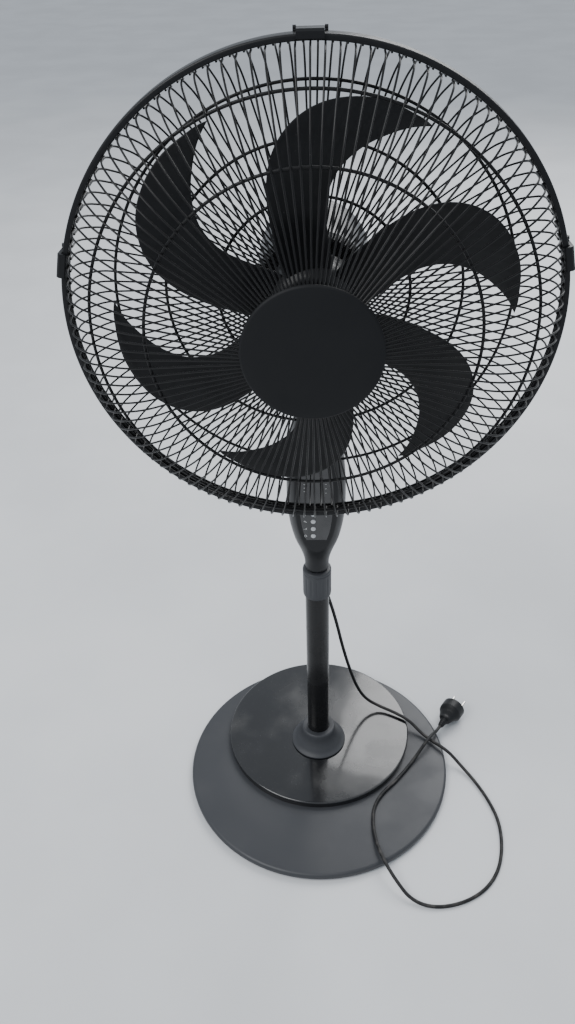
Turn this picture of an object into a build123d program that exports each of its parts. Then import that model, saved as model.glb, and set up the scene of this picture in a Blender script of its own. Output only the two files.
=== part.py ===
from build123d import *
from math import atan2, cos, degrees, hypot, pi, radians, sin, tan
import os

# Round-base pedestal fan with a six-blade rotor, telescopic pole, tilting and oscillating head.
# Millimetres, +Z up, the front of the fan faces -Y. The origin is on the floor under the centre
# of the base plate.

# ---- driving dimensions -------------------------------------------------------------------
PLATE_R = 200.0          # lower base disc
PLATE_EDGE_H = 12.0      # height of its rim above the floor
COVER_R = 144.0          # upper base disc, set back so that the two discs meet at the rear
COVER_Y = 55.0
COVER_EDGE_H = 24.5
COVER_TOP_H = 29.0
FOOT_H = 2.0

POLE_Y = 31.0            # pole axis
POLE_R = 16.5
INNER_POLE_R = 13.0
POLE_TOP = 372.0
COLLAR_BOTTOM = 339.0
COLLAR_TOP = 386.0
COLLAR_R = 19.6

HOUSING_BOTTOM = 388.0
HOUSING_TOP = 636.0
HOUSING_WALL = 2.5
PANEL_Y = POLE_Y - 24.0  # flat front face of the control housing
PANEL_T = 2.5
BUTTON_X = -4.0
BUTTON_Z0 = 458.0
BUTTON_PITCH = 11.6
BUTTON_R = 3.2

TILT_Z = 655.0           # tilt axis, along X
NECK_PLATE_TOP = 725.0
BOSS_BOTTOM = 731.0      # bottom of the swivel boss under the motor
SWIVEL_PIN_R = 8.0

HEAD_Z = 803.0           # motor, rotor and grille axis
RIM_Y = -69.0            # plane of the grille rim
RIM_R = 250.0
RIM_W = 18.0
RING_WIRE_R = 1.6
SPOKE_R = 1.0
SPOKES = 120
BADGE_R = 67.5
BLADES = 6
HUB_R = 50.0
SHAFT_R = 4.0
MOTOR_R = 42.0
COVER_SHELL_R = 62.0
RUN = 0.05               # radial running clearance of pins and shafts

CORD_R = 2.5

os.makedirs("parts", exist_ok=True)

# Planes of the head: "forward" is -Y, measured from the rim plane.
HEAD = Vector(0, RIM_Y, HEAD_Z)
head_axis = Axis((0, RIM_Y, HEAD_Z), (0, -1, 0))
head_front = Plane(origin=HEAD, x_dir=(1, 0, 0), z_dir=(0, -1, 0))
head_profile = Plane(origin=HEAD, x_dir=(1, 0, 0), z_dir=(0, 0, -1))
pole_axis = Axis((0, POLE_Y, 0), (0, 0, 1))
pole_profile = Plane(origin=(0, POLE_Y, 0), x_dir=(1, 0, 0), z_dir=(0, -1, 0))
plate_profile = Plane(origin=(0, 0, 0), x_dir=(1, 0, 0), z_dir=(0, -1, 0))
cover_profile = Plane(origin=(0, COVER_Y, 0), x_dir=(1, 0, 0), z_dir=(0, -1, 0))
POLE_F = RIM_Y - POLE_Y  # the pole axis lies this far forward of the rim plane (negative: behind)


def pole_level(z):
    """Horizontal plane at height z with its origin on the pole axis."""
    return Plane(origin=(0, POLE_Y, z), x_dir=(1, 0, 0), z_dir=(0, 0, 1))


def across(x, y, z):
    """Vertical plane facing +X with its origin at a point, for pins along X."""
    return Plane(origin=(x, y, z), x_dir=(0, 1, 0), z_dir=(1, 0, 0))


def facing(x, y, z):
    """Vertical plane facing the front (-Y) with its origin at a point."""
    return Plane(origin=(x, y, z), x_dir=(1, 0, 0), z_dir=(0, -1, 0))


def finish(part, name):
    part.label = name
    export_step(part, f"parts/{name}.step")
    print(f"{name}: {len(part.solids())} solid(s), {part.volume / 1000:.1f} cm3")


# ---- base ---------------------------------------------------------------------------------
# Lower disc: a moulded shell with a shallow crown, open underneath, holding the weight.
with BuildPart() as base_plate:
    with BuildSketch(plate_profile):
        with BuildLine():
            Polyline(
                (PLATE_R - 3, FOOT_H), (PLATE_R, FOOT_H + 2), (PLATE_R, PLATE_EDGE_H - 3),
                (PLATE_R - 3, PLATE_EDGE_H), (150, 14.5), (0, 14.5), (0, 11.5), (150, 11.5),
                (PLATE_R - 4, PLATE_EDGE_H - 3), (PLATE_R - 4, FOOT_H), close=True,
            )
        make_face()
    revolve(axis=Axis.Z)
    with BuildSketch(pole_level(5)):
        with PolarLocations(36, 4, 45):
            Circle(3.2)
    extrude(amount=20, mode=Mode.SUBTRACT)
finish(base_plate.part, "base_plate")

# Cast weight that fills the lower disc.
with BuildPart() as base_weight:
    with BuildSketch(Plane.XY.offset(3)):
        Circle(182)
        with Locations((0, POLE_Y)):
            with PolarLocations(36, 4, 45):
                Circle(3.2, mode=Mode.SUBTRACT)
    extrude(amount=6.3)
finish(base_weight.part, "base_weight")

# Upper disc: glossy cover with a flat edge band and a slightly crowned top.
with BuildPart() as base_cover:
    with BuildSketch(cover_profile):
        with BuildLine():
            Polyline(
                (COVER_R - 3, 14.6), (COVER_R, 14.6), (COVER_R, COVER_EDGE_H - 2),
                (COVER_R - 2, COVER_EDGE_H), (90, COVER_TOP_H - 1.5), (40, COVER_TOP_H),
                (0, COVER_TOP_H), (0, COVER_TOP_H - 3), (40, COVER_TOP_H - 3),
                (90, COVER_TOP_H - 4.5), (COVER_R - 3, COVER_EDGE_H - 3), close=True,
            )
        make_face()
    revolve(axis=Axis((0, COVER_Y, 0), (0, 0, 1)))
    with Locations(pole_level(0)):
        Cylinder(POLE_R + 6.3, 80, mode=Mode.SUBTRACT)
finish(base_cover.part, "base_cover")

# Flanged steel socket: the pole stands in it, and bolts hold it down through the weight.
with BuildPart() as pole_socket:
    with BuildSketch(pole_level(14.6)):
        Circle(44)
        with PolarLocations(36, 4, 45):
            Circle(3.2, mode=Mode.SUBTRACT)
    extrude(amount=3)
    with BuildSketch(pole_level(14.6)):
        Circle(POLE_R + 6)
    extrude(amount=45)
    with BuildSketch(pole_level(17.6)):
        Circle(POLE_R)
    extrude(amount=60, mode=Mode.SUBTRACT)
finish(pole_socket.part, "pole_socket")

# Bolts from below into nuts above the flange.
with BuildPart() as base_bolts:
    with BuildSketch(pole_level(3)):
        with PolarLocations(36, 4, 45):
            Circle(3)
    extrude(amount=19)
    with BuildSketch(pole_level(17.7)):
        with PolarLocations(36, 4, 45):
            RegularPolygon(5.2, 6)
            Circle(2.9, mode=Mode.SUBTRACT)
    extrude(amount=4)
finish(base_bolts.part, "base_bolts")

# Round rubber pads: one in the middle and a ring of six near the edge.
with BuildPart() as base_feet:
    with BuildSketch(Plane.XY):
        Circle(14)
        with PolarLocations(168, 6):
            Circle(11)
    extrude(amount=3)
finish(base_feet.part, "base_feet")

# Trim ring that hides the socket where the pole enters the base.
with BuildPart() as base_collar:
    with BuildSketch(pole_profile):
        with BuildLine():
            Polyline(
                (42, COVER_TOP_H + 0.1), (42, COVER_TOP_H + 1.6), (37, COVER_TOP_H + 4.5),
                (25.5, 60.5), (24, 62), (POLE_R + 0.2, 62), (POLE_R + 0.2, 60),
                (POLE_R + 6.6, 60), (POLE_R + 6.6, COVER_TOP_H + 0.1), close=True,
            )
        make_face()
    revolve(axis=pole_axis)
finish(base_collar.part, "base_collar")

# ---- pole ---------------------------------------------------------------------------------
with BuildPart() as outer_pole:
    with BuildSketch(pole_level(17.7)):
        Circle(POLE_R - 0.02)
        Circle(POLE_R - 1.5, mode=Mode.SUBTRACT)
    extrude(amount=POLE_TOP - 17.7)
finish(outer_pole.part, "outer_pole")

# Slotted plastic collet that guides the inner pole in the mouth of the outer one.
with BuildPart() as pole_collet:
    with BuildSketch(pole_level(POLE_TOP - 50)):
        Circle(POLE_R - 1.55)
        Circle(INNER_POLE_R + RUN, mode=Mode.SUBTRACT)
    extrude(amount=50)
    with BuildSketch(pole_level(POLE_TOP + 0.1)):
        Circle(POLE_R + 0.4)
        Circle(INNER_POLE_R + RUN, mode=Mode.SUBTRACT)
    extrude(amount=9)
    with BuildSketch(pole_level(POLE_TOP - 0.2)):
        Circle(POLE_R - 1.55)
        Circle(INNER_POLE_R + RUN, mode=Mode.SUBTRACT)
    extrude(amount=0.4)
    with BuildSketch(pole_level(POLE_TOP - 20)):
        with PolarLocations(0, 2):
            Rectangle(2, 2 * POLE_R + 6)
    extrude(amount=40, mode=Mode.SUBTRACT)
finish(pole_collet.part, "pole_collet")

# Twist collar that squeezes the collet on the inner pole.
with BuildPart() as lock_collar:
    with BuildSketch(pole_profile):
        with BuildLine():
            Polyline(
                (POLE_R + RUN, COLLAR_BOTTOM), (COLLAR_R - 1.5, COLLAR_BOTTOM),
                (COLLAR_R, COLLAR_BOTTOM + 3), (COLLAR_R, COLLAR_TOP - 3),
                (COLLAR_R - 1.5, COLLAR_TOP), (INNER_POLE_R + 0.6, COLLAR_TOP),
                (INNER_POLE_R + 0.6, COLLAR_TOP - 3.5), (POLE_R + 1, COLLAR_TOP - 3.5),
                (POLE_R + 1, COLLAR_BOTTOM + 20), (POLE_R + RUN, COLLAR_BOTTOM + 19), close=True,
            )
        make_face()
    revolve(axis=pole_axis)
    with BuildSketch(pole_level(COLLAR_BOTTOM + 5)):
        with PolarLocations(COLLAR_R + 1.1, 16):
            Circle(1.9)
    extrude(amount=COLLAR_TOP - COLLAR_BOTTOM - 10, mode=Mode.SUBTRACT)
finish(lock_collar.part, "lock_collar")

with BuildPart() as inner_pole:
    with BuildSketch(pole_level(90)):
        Circle(INNER_POLE_R)
        Circle(INNER_POLE_R - 1.5, mode=Mode.SUBTRACT)
    extrude(amount=350)
finish(inner_pole.part, "inner_pole")

# ---- control housing ----------------------------------------------------------------------
# Sections of the housing: height, half width, half depth.
HOUSING_SECTIONS = (
    (HOUSING_BOTTOM, 16.0, 16.0), (404, 17.0, 17.0), (420, 21.5, 20.0), (440, 29.0, 27.0),
    (462, 34.2, 31.0), (484, 37.0, 33.2), (506, 38.0, 34.0), (528, 37.8, 34.2), (550, 36.6, 33.6),
    (572, 34.6, 32.2), (594, 31.6, 30.0), (615, 27.6, 26.8), (HOUSING_TOP, 22.0, 22.0),
)
# Outline of the control panel: height, half width.
PANEL_OUTLINE = ((451, 13.0), (470, 18.0), (505, 21.5), (545, 21.0), (580, 16.5))


def housing_loft(inset):
    """The housing's outer form, or its hollow when inset by the wall."""
    sections = []
    for z, half_w, half_d in HOUSING_SECTIONS:
        with BuildSketch(pole_level(z)) as section:
            Ellipse(half_w - inset, half_d - inset)
        sections.append(section.sketch.face())
    loft(sections)


with BuildPart() as housing_body:
    housing_loft(0)
    split(bisect_by=Plane.XZ.offset(-PANEL_Y), keep=Keep.BOTTOM)

with BuildPart() as housing_hollow:
    housing_loft(HOUSING_WALL)
    split(bisect_by=Plane.XZ.offset(-PANEL_Y - PANEL_T), keep=Keep.BOTTOM)


def panel_shape(clearance):
    """Closed outline of the panel, symmetrical about the housing's centre line."""
    right = [(w + clearance, z) for z, w in PANEL_OUTLINE]
    left = [(-w, z) for w, z in reversed(right)]
    with BuildLine() as outline:
        Spline(*right)
        Spline(*left)
        Line(right[-1], left[0])
        Line(left[-1], right[0])
    make_face(outline.edges())


SCREW_SPOTS = ((-24.0, 500.0), (24.0, 500.0), (-18.0, 592.0), (18.0, 592.0))
button_spots = [(BUTTON_X, BUTTON_Z0 + BUTTON_PITCH * i) for i in range(5)]
led_spots = [(6.0, 526.0 + 6.5 * i) for i in range(4)]

# Screw bosses that join the two halves.
with BuildPart() as housing_bosses:
    for x, z in SCREW_SPOTS:
        with BuildSketch(facing(x, PANEL_Y + 1, z)):
            Circle(4.2)
        extrude(amount=-60)
    add(housing_body.part, mode=Mode.INTERSECT)

with BuildPart() as housing_front:
    add(housing_body.part)
    add(housing_hollow.part, mode=Mode.SUBTRACT)
    add(housing_bosses.part)
    split(bisect_by=Plane.XZ.offset(-POLE_Y), keep=Keep.TOP)
    with BuildSketch(facing(0, PANEL_Y + PANEL_T, 0)):
        panel_shape(0.2)
    extrude(amount=10, mode=Mode.SUBTRACT)
    for x, z in SCREW_SPOTS:
        with BuildSketch(facing(x, POLE_Y, z)):
            Circle(1.55)
        extrude(amount=9, mode=Mode.SUBTRACT)
    with Locations((0, POLE_Y, HOUSING_TOP)):
        Box(17, 30, 12, mode=Mode.SUBTRACT)
finish(housing_front.part, "housing_front")

with BuildPart() as housing_rear:
    add(housing_body.part)
    with BuildSketch(Plane.XY.offset(416)):
        with Locations((4, POLE_Y + 25)):
            Circle(6.5)
    extrude(amount=30)
    add(housing_hollow.part, mode=Mode.SUBTRACT)
    add(housing_bosses.part)
    split(bisect_by=Plane.XZ.offset(-POLE_Y), keep=Keep.BOTTOM)
    for x, z in SCREW_SPOTS:
        with BuildSketch(facing(x, POLE_Y, z)):
            Circle(1.7)
        extrude(amount=-40, mode=Mode.SUBTRACT)
        with BuildSketch(facing(x, POLE_Y + 11, z)):
            Circle(3.3)
        extrude(amount=-30, mode=Mode.SUBTRACT)
    with Locations((0, POLE_Y, HOUSING_TOP)):
        Box(17, 30, 12, mode=Mode.SUBTRACT)
    with BuildSketch(Plane.XY.offset(410)):
        with Locations((4, POLE_Y + 25)):
            Circle(3.6)
    extrude(amount=45, mode=Mode.SUBTRACT)
finish(housing_rear.part, "housing_rear")

with BuildPart() as housing_screws:
    for x, z in SCREW_SPOTS:
        with BuildSketch(facing(x, POLE_Y + 13.4, z)):
            Circle(3.0)
        extrude(amount=2.3)
        with BuildSketch(facing(x, POLE_Y + 11.2, z)):
            Circle(1.5)
        extrude(amount=18)
finish(housing_screws.part, "housing_screws")

# Glossy panel let into the flat front, drilled for the buttons and the indicator lamps.
with BuildPart() as control_panel:
    with BuildSketch(facing(0, PANEL_Y + PANEL_T, 0)):
        panel_shape(0)
        with Locations(*button_spots):
            Circle(BUTTON_R + 0.3, mode=Mode.SUBTRACT)
        with Locations(*led_spots):
            Circle(1.35, mode=Mode.SUBTRACT)
    extrude(amount=PANEL_T)
finish(control_panel.part, "control_panel")

with BuildPart() as indicator_lenses:
    for x, z in led_spots:
        with BuildSketch(facing(x, PANEL_Y + 7.4, z)):
            Circle(1.25)
        extrude(amount=7.2)
finish(indicator_lenses.part, "indicator_lenses")

with BuildPart() as circuit_board:
    with BuildSketch(facing(0, PANEL_Y + 9.2, 505)):
        Rectangle(27, 106)
    extrude(amount=1.6)
    for x, z in button_spots:
        with BuildSketch(facing(x, PANEL_Y + 7.6, z)):
            Rectangle(6, 6)
        extrude(amount=0.2)
finish(circuit_board.part, "circuit_board")

BUTTON_NAMES = ("power_button", "speed_button", "mode_button", "timer_button", "swing_button")
for name, (x, z) in zip(BUTTON_NAMES, button_spots):
    with BuildPart() as button:
        with BuildSketch(facing(x, PANEL_Y + PANEL_T + 0.2, z)):
            Circle(BUTTON_R)
        extrude(amount=PANEL_T + 1.8)
        fillet(button.edges().group_by(Axis.Y)[0], 0.7)
        with BuildSketch(facing(x, PANEL_Y + PANEL_T + 1.3, z)):
            Circle(BUTTON_R + 0.9)
        extrude(amount=1.1)
        with BuildSketch(facing(x, PANEL_Y + 6.4, z)):
            Circle(1.4)
        extrude(amount=3)
    finish(button.part, name)

# Cast upright on the inner pole: it carries the tilt lug through the top of the housing.
with BuildPart() as tilt_upright:
    with BuildSketch(pole_level(410)):
        Circle(INNER_POLE_R - 1.55)
    extrude(amount=30.1)
    with BuildSketch(pole_level(440.1)):
        Circle(14)
    extrude(amount=4)
    with BuildSketch(pole_level(444)):
        Circle(9)
    extrude(amount=186)
    with BuildSketch(pole_level(620)):
        Rectangle(16, 24)
    extrude(amount=TILT_Z - 620)
    with BuildSketch(across(-8, POLE_Y, TILT_Z)):
        Circle(16)
    extrude(amount=16)
    with BuildSketch(across(-10, POLE_Y, TILT_Z)):
        Circle(4 + RUN)
    extrude(amount=20, mode=Mode.SUBTRACT)
finish(tilt_upright.part, "tilt_upright")

# ---- neck ---------------------------------------------------------------------------------
LINK_LUG_X = -22.0
with BuildPart() as neck_bracket:
    for x in (-14.5, 8.4):
        with BuildSketch(across(x, POLE_Y, TILT_Z)):
            Circle(15)
            with Locations((0, 12)):
                Rectangle(30, 24)
        extrude(amount=6.1)
    with BuildSketch(pole_level(672.5)):
        RectangleRounded(29, 30, 5)
    extrude(amount=10)
    with BuildSketch(pole_level(682)):
        Circle(14)
    with BuildSketch(pole_level(718)):
        Circle(17)
    loft()
    with BuildSketch(pole_level(718)):
        Circle(19)
        with BuildLine():
            Polyline((0, -8), (LINK_LUG_X, -8), (LINK_LUG_X, 8), (0, 8), close=True)
        make_face()
        with Locations((LINK_LUG_X, 0)):
            Circle(8)
    extrude(amount=NECK_PLATE_TOP - 718)
    with BuildSketch(pole_level(NECK_PLATE_TOP - 1)):
        Circle(9.5)
    extrude(amount=BOSS_BOTTOM - NECK_PLATE_TOP + 0.9)
    with BuildSketch(pole_level(BOSS_BOTTOM - 1)):
        Circle(SWIVEL_PIN_R)
    extrude(amount=26)
    with BuildSketch(across(-20, POLE_Y, TILT_Z)):
        Circle(4.02)
    extrude(amount=40, mode=Mode.SUBTRACT)
finish(neck_bracket.part, "neck_bracket")

with BuildPart() as tilt_bolt:
    with BuildSketch(across(-19, POLE_Y, TILT_Z)):
        Circle(7)
    extrude(amount=4.4)
    with BuildSketch(across(-15, POLE_Y, TILT_Z)):
        Circle(4)
    extrude(amount=35)
    fillet(tilt_bolt.edges().group_by(Axis.X)[0], 1.5)
finish(tilt_bolt.part, "tilt_bolt")

with BuildPart() as tilt_nut:
    with BuildSketch(across(14.6, POLE_Y, TILT_Z)):
        RegularPolygon(7.5, 6)
        Circle(4.02, mode=Mode.SUBTRACT)
    extrude(amount=5)
finish(tilt_nut.part, "tilt_nut")

# ---- motor --------------------------------------------------------------------------------
MOTOR_BACK_F = POLE_F - 14   # back of the stator stack
STACK = 28.0


def ring_solid(plane, outer, inner, length):
    with BuildSketch(plane) as ring:
        Circle(outer)
        if inner:
            Circle(inner, mode=Mode.SUBTRACT)
    extrude(ring.sketch, amount=length)


# Rear bell: a cup round the stator's back, with the swivel boss under it and an arm that
# holds the oscillation motor.
SWING_Y = POLE_Y + 50.0      # axis of the oscillation motor and crank
with BuildPart() as motor_bracket:
    with BuildSketch(pole_level(BOSS_BOTTOM)):
        Circle(15)
    extrude(amount=32)
    with BuildSketch(head_front.offset(MOTOR_BACK_F + 8.2)):
        Circle(MOTOR_R + 3.4)
    extrude(amount=30, mode=Mode.SUBTRACT)
    with BuildSketch(head_front.offset(MOTOR_BACK_F - 14)):
        Circle(MOTOR_R + 3)
    extrude(amount=22)
    with Locations((0, SWING_Y - 6, 770.6)):
        Box(30, 44, 4)
    with BuildSketch(pole_level(768)):
        with Locations((0, SWING_Y - POLE_Y)):
            Circle(23)
    extrude(amount=4.6)
    with BuildSketch(head_front.offset(MOTOR_BACK_F - 10)):
        Circle(MOTOR_R - 1.5)
    extrude(amount=10, mode=Mode.SUBTRACT)
    with BuildSketch(head_front.offset(MOTOR_BACK_F)):
        Circle(MOTOR_R + 0.05)
    extrude(amount=20, mode=Mode.SUBTRACT)
    with BuildSketch(head_front.offset(MOTOR_BACK_F - 16)):
        Circle(7)
    extrude(amount=12, mode=Mode.SUBTRACT)
    with BuildSketch(pole_level(BOSS_BOTTOM - 1)):
        Circle(SWIVEL_PIN_R + RUN)
    extrude(amount=26.5, mode=Mode.SUBTRACT)
    with BuildSketch(pole_level(760)):
        with Locations((0, SWING_Y - POLE_Y)):
            Circle(5)
    extrude(amount=20, mode=Mode.SUBTRACT)
finish(motor_bracket.part, "motor_bracket")

with BuildPart() as stator_core:
    with BuildSketch(head_front.offset(MOTOR_BACK_F)):
        Circle(MOTOR_R)
        Circle(22.5, mode=Mode.SUBTRACT)
        with PolarLocations(29, 16):
            Rectangle(11, 4, mode=Mode.SUBTRACT)
    extrude(amount=STACK)
finish(stator_core.part, "stator_core")

# Copper end turns on both faces of the stack.
with BuildPart() as stator_windings:
    for start, length in ((MOTOR_BACK_F - 8.2, 8.0), (MOTOR_BACK_F + STACK + 0.2, 8.0)):
        ring_solid(head_front.offset(start), 36, 25, length)
finish(stator_windings.part, "stator_windings")

FRONT_BELL_F = MOTOR_BACK_F + STACK - 6.0
GRILLE_SEAT_F = -49.0        # face that the rear grille is clamped to
with BuildPart() as motor_front_bell:
    ring_solid(head_front.offset(FRONT_BELL_F), MOTOR_R + 3, MOTOR_R + 0.05, 6.0)
    ring_solid(head_front.offset(FRONT_BELL_F + 6), MOTOR_R + 3, MOTOR_R - 1.5, 9.0)
    ring_solid(head_front.offset(FRONT_BELL_F + 15), MOTOR_R + 3, 7, 4.0)
    ring_solid(head_front.offset(FRONT_BELL_F + 19), 20, 7, GRILLE_SEAT_F + 9 - FRONT_BELL_F - 19)
finish(motor_front_bell.part, "motor_front_bell")

# Plain bushes pressed into the two bells.
with BuildPart() as motor_bushes:
    ring_solid(head_front.offset(MOTOR_BACK_F - 13.9), 6.97, SHAFT_R + RUN, 8.0)
    ring_solid(head_front.offset(GRILLE_SEAT_F - 2), 6.97, SHAFT_R + RUN, 10.0)
finish(motor_bushes.part, "motor_bushes")

with BuildPart() as rotor_core:
    ring_solid(head_front.offset(MOTOR_BACK_F + 1), 22.2, SHAFT_R, STACK - 2)
    ring_solid(head_front.offset(MOTOR_BACK_F - 3), 20, 12, 4)
    ring_solid(head_front.offset(MOTOR_BACK_F + STACK - 1), 20, 12, 4)
finish(rotor_core.part, "rotor_core")

HUB_BACK_F = -31.0
HUB_FRONT_F = 15.0
with BuildPart() as motor_shaft:
    ring_solid(head_front.offset(MOTOR_BACK_F - 12), SHAFT_R, 0, 12 - MOTOR_BACK_F + HUB_FRONT_F + 9)
finish(motor_shaft.part, "motor_shaft")

# Plastic cover over the motor: a bell that closes at the back with a ring of air slots.
COVER_FRONT_F = GRILLE_SEAT_F - 1.2
COVER_BACK_F = POLE_F - 94.0
with BuildPart() as motor_cover:
    with BuildSketch(head_profile):
        with BuildLine():
            Polyline((58, COVER_FRONT_F), (COVER_SHELL_R, COVER_FRONT_F - 8), (COVER_SHELL_R, POLE_F - 52))
            ThreePointArc((COVER_SHELL_R, POLE_F - 52), (53, POLE_F - 79), (28, COVER_BACK_F + 2))
            Polyline((28, COVER_BACK_F + 2), (0, COVER_BACK_F), (0, COVER_BACK_F + 2.5),
                     (27.5, COVER_BACK_F + 4.5))
            ThreePointArc((27.5, COVER_BACK_F + 4.5), (51, POLE_F - 77.4),
                          (COVER_SHELL_R - 2.5, POLE_F - 52))
            Polyline((COVER_SHELL_R - 2.5, POLE_F - 52), (COVER_SHELL_R - 2.5, COVER_FRONT_F - 7),
                     (56, COVER_FRONT_F - 2.5), (21, COVER_FRONT_F - 2.5), (21, COVER_FRONT_F),
                     (58, COVER_FRONT_F))
        make_face()
    revolve(axis=head_axis)
    with BuildSketch(pole_level(700)):
        Circle(19)
        with Locations((0, SWING_Y - POLE_Y)):
            Circle(6)
    extrude(amount=60, mode=Mode.SUBTRACT)
    with BuildSketch(head_front.offset(COVER_BACK_F - 5)):
        with PolarLocations(36, 20):
            SlotOverall(18, 3.2)
    extrude(amount=32, mode=Mode.SUBTRACT)
finish(motor_cover.part, "motor_cover")

# ---- oscillation drive --------------------------------------------------------------------
CRANK_ARM = 14.0
with BuildPart() as swing_motor:
    with BuildSketch(pole_level(753)):
        with Locations((0, SWING_Y - POLE_Y)):
            Circle(21)
    extrude(amount=14.9)
    with BuildSketch(pole_level(748)):
        with Locations((0, SWING_Y - POLE_Y)):
            Circle(5)
            Circle(2.5 + RUN, mode=Mode.SUBTRACT)
    extrude(amount=5)
    with BuildSketch(pole_level(752)):
        with Locations((0, SWING_Y - POLE_Y)):
            Circle(2.5 + RUN)
    extrude(amount=8, mode=Mode.SUBTRACT)
finish(swing_motor.part, "swing_motor")

with BuildPart() as crank_disc:
    with BuildSketch(pole_level(733)):
        with Locations((0, SWING_Y - POLE_Y)):
            Circle(19)
    extrude(amount=5)
    with BuildSketch(pole_level(737)):
        with Locations((0, SWING_Y - POLE_Y)):
            Circle(2.5)
    extrude(amount=22)
    with BuildSketch(pole_level(725.8)):
        with Locations((-CRANK_ARM, SWING_Y - POLE_Y)):
            Circle(2.5)
    extrude(amount=8)
finish(crank_disc.part, "crank_disc")

# Flat link from the crank pin to the lug of the neck, bowed to pass round the swivel boss.
# Its lug end rests above the lug.
LINK_PIN = Vector(-CRANK_ARM, SWING_Y - POLE_Y)
LINK_END = Vector(LINK_LUG_X, 0)
LINK_BENDS = (LINK_PIN, Vector(-29, 27), Vector(-29, 9), LINK_END)
LINK_W = 8.0
with BuildPart() as swing_link:
    with BuildSketch(pole_level(726.2)):
        for near, far in zip(LINK_BENDS, LINK_BENDS[1:]):
            run = far - near
            with Locations(Pos((near + far) / 2) * Rot(0, 0, degrees(atan2(run.Y, run.X)))):
                Rectangle(run.length, LINK_W)
        with Locations(*LINK_BENDS[1:-1]):
            Circle(LINK_W / 2)
        with Locations(LINK_PIN, LINK_END):
            Circle(6)
        with Locations(LINK_PIN):
            Circle(2.5 + RUN, mode=Mode.SUBTRACT)
        with Locations(LINK_END):
            Circle(2.6, mode=Mode.SUBTRACT)
    extrude(amount=3.2)
finish(swing_link.part, "swing_link")

# ---- rotor --------------------------------------------------------------------------------
# Outline of one blade in polar form: radius, angle counted from the tip, going round from the
# root along the trailing edge to the tip and back along the leading edge.
TRAILING_EDGE = ((46, 66), (80, 58.5), (110, 54), (138, 49.5), (163, 44), (184, 36.5), (198, 27.5),
                 (205, 16), (204, 5))
LEADING_EDGE = ((202, -0.5), (192, 4.5), (178, 10), (160, 16.5), (135, 22.8), (105, 25), (75, 20), (46, 8))
BLADE_TIP = (204.5, 1.5)     # outermost point of the rounded tip
BLADE_TILT = 7.0             # pitch of the blades
BLADE_CAMBER = 3.0
BLADE_T = 2.4
BLADE_F = 6.0                # how far forward of the rim's plane the blades stand
FIRST_TIP = -2.0             # angle of the blade tip nearest to +X


def polar(points, turn):
    return [(r * cos(radians(a + turn)), r * sin(radians(a + turn))) for r, a in points]


with BuildPart() as one_blade:
    # A pitched plate, cambered along its chord, cut to the sickle outline.
    mid = FIRST_TIP + 28
    with BuildSketch(head_front.offset(-34)):
        trailing = polar(TRAILING_EDGE, FIRST_TIP)
        leading = polar(LEADING_EDGE, FIRST_TIP)
        with BuildLine():
            Spline(*trailing)
            ThreePointArc(trailing[-1], polar((BLADE_TIP,), FIRST_TIP)[0], leading[0])
            Spline(*leading)
            Line(leading[-1], trailing[0])
        make_face()
    extrude(amount=66)
    span = Vector(cos(radians(mid)), 0, sin(radians(mid)))
    chord = Vector(-sin(radians(mid)), 0, cos(radians(mid)))
    rise = Vector(0, -1, 0)
    lean = radians(BLADE_TILT)
    chord_dir = chord * cos(lean) + rise * sin(lean)
    section_plane = Plane(origin=HEAD + span * 10 + rise * BLADE_F, x_dir=chord_dir, z_dir=span)
    with BuildSketch(section_plane) as blade_section:
        half = 112.0
        camber = BLADE_CAMBER
        with BuildLine():
            ThreePointArc((-half, -camber), (0, 0), (half, -camber))
            Line((half, -camber), (half, -camber - BLADE_T))
            ThreePointArc((half, -camber - BLADE_T), (0, -BLADE_T), (-half, -camber - BLADE_T))
            Line((-half, -camber - BLADE_T), (-half, -camber))
        make_face()
    extrude(amount=230, mode=Mode.INTERSECT)

with BuildPart() as fan_blades:
    with BuildSketch(head_profile):
        with BuildLine():
            Polyline((HUB_R, HUB_BACK_F), (HUB_R, HUB_FRONT_F - 10), (HUB_R - 4, HUB_FRONT_F - 3),
                     (HUB_R - 12, HUB_FRONT_F), (SHAFT_R, HUB_FRONT_F), (SHAFT_R, HUB_BACK_F + 20),
                     (11, HUB_BACK_F + 20), (11, HUB_FRONT_F - 3), (HUB_R - 13, HUB_FRONT_F - 3),
                     (HUB_R - 3, HUB_FRONT_F - 11), (HUB_R - 3, HUB_BACK_F), close=True)
        make_face()
    revolve(axis=head_axis)
    for i in range(BLADES):
        add(one_blade.part.rotate(head_axis, 360 / BLADES * i))
    with BuildSketch(head_front.offset(HUB_BACK_F - 10)):
        Circle(HUB_R - 3)
    extrude(amount=HUB_FRONT_F - 11 - HUB_BACK_F + 10, mode=Mode.SUBTRACT)
    ring_solid(head_front.offset(HUB_BACK_F + 20), 11, SHAFT_R, HUB_FRONT_F - HUB_BACK_F - 20)
finish(fan_blades.part, "fan_blades")

with BuildPart() as blade_nut:
    with BuildSketch(head_profile):
        with BuildLine():
            Polyline((4.02, HUB_FRONT_F + 0.1), (19, HUB_FRONT_F + 0.1), (19, HUB_FRONT_F + 7),
                     (16, HUB_FRONT_F + 12), (0, HUB_FRONT_F + 13), (0, HUB_FRONT_F + 9.3),
                     (4.02, HUB_FRONT_F + 9.3), close=True)
        make_face()
    revolve(axis=head_axis)
    with BuildSketch(head_front.offset(HUB_FRONT_F - 1)):
        with PolarLocations(20, 12):
            Circle(2.2)
    extrude(amount=20, mode=Mode.SUBTRACT)
finish(blade_nut.part, "blade_nut")

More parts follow.
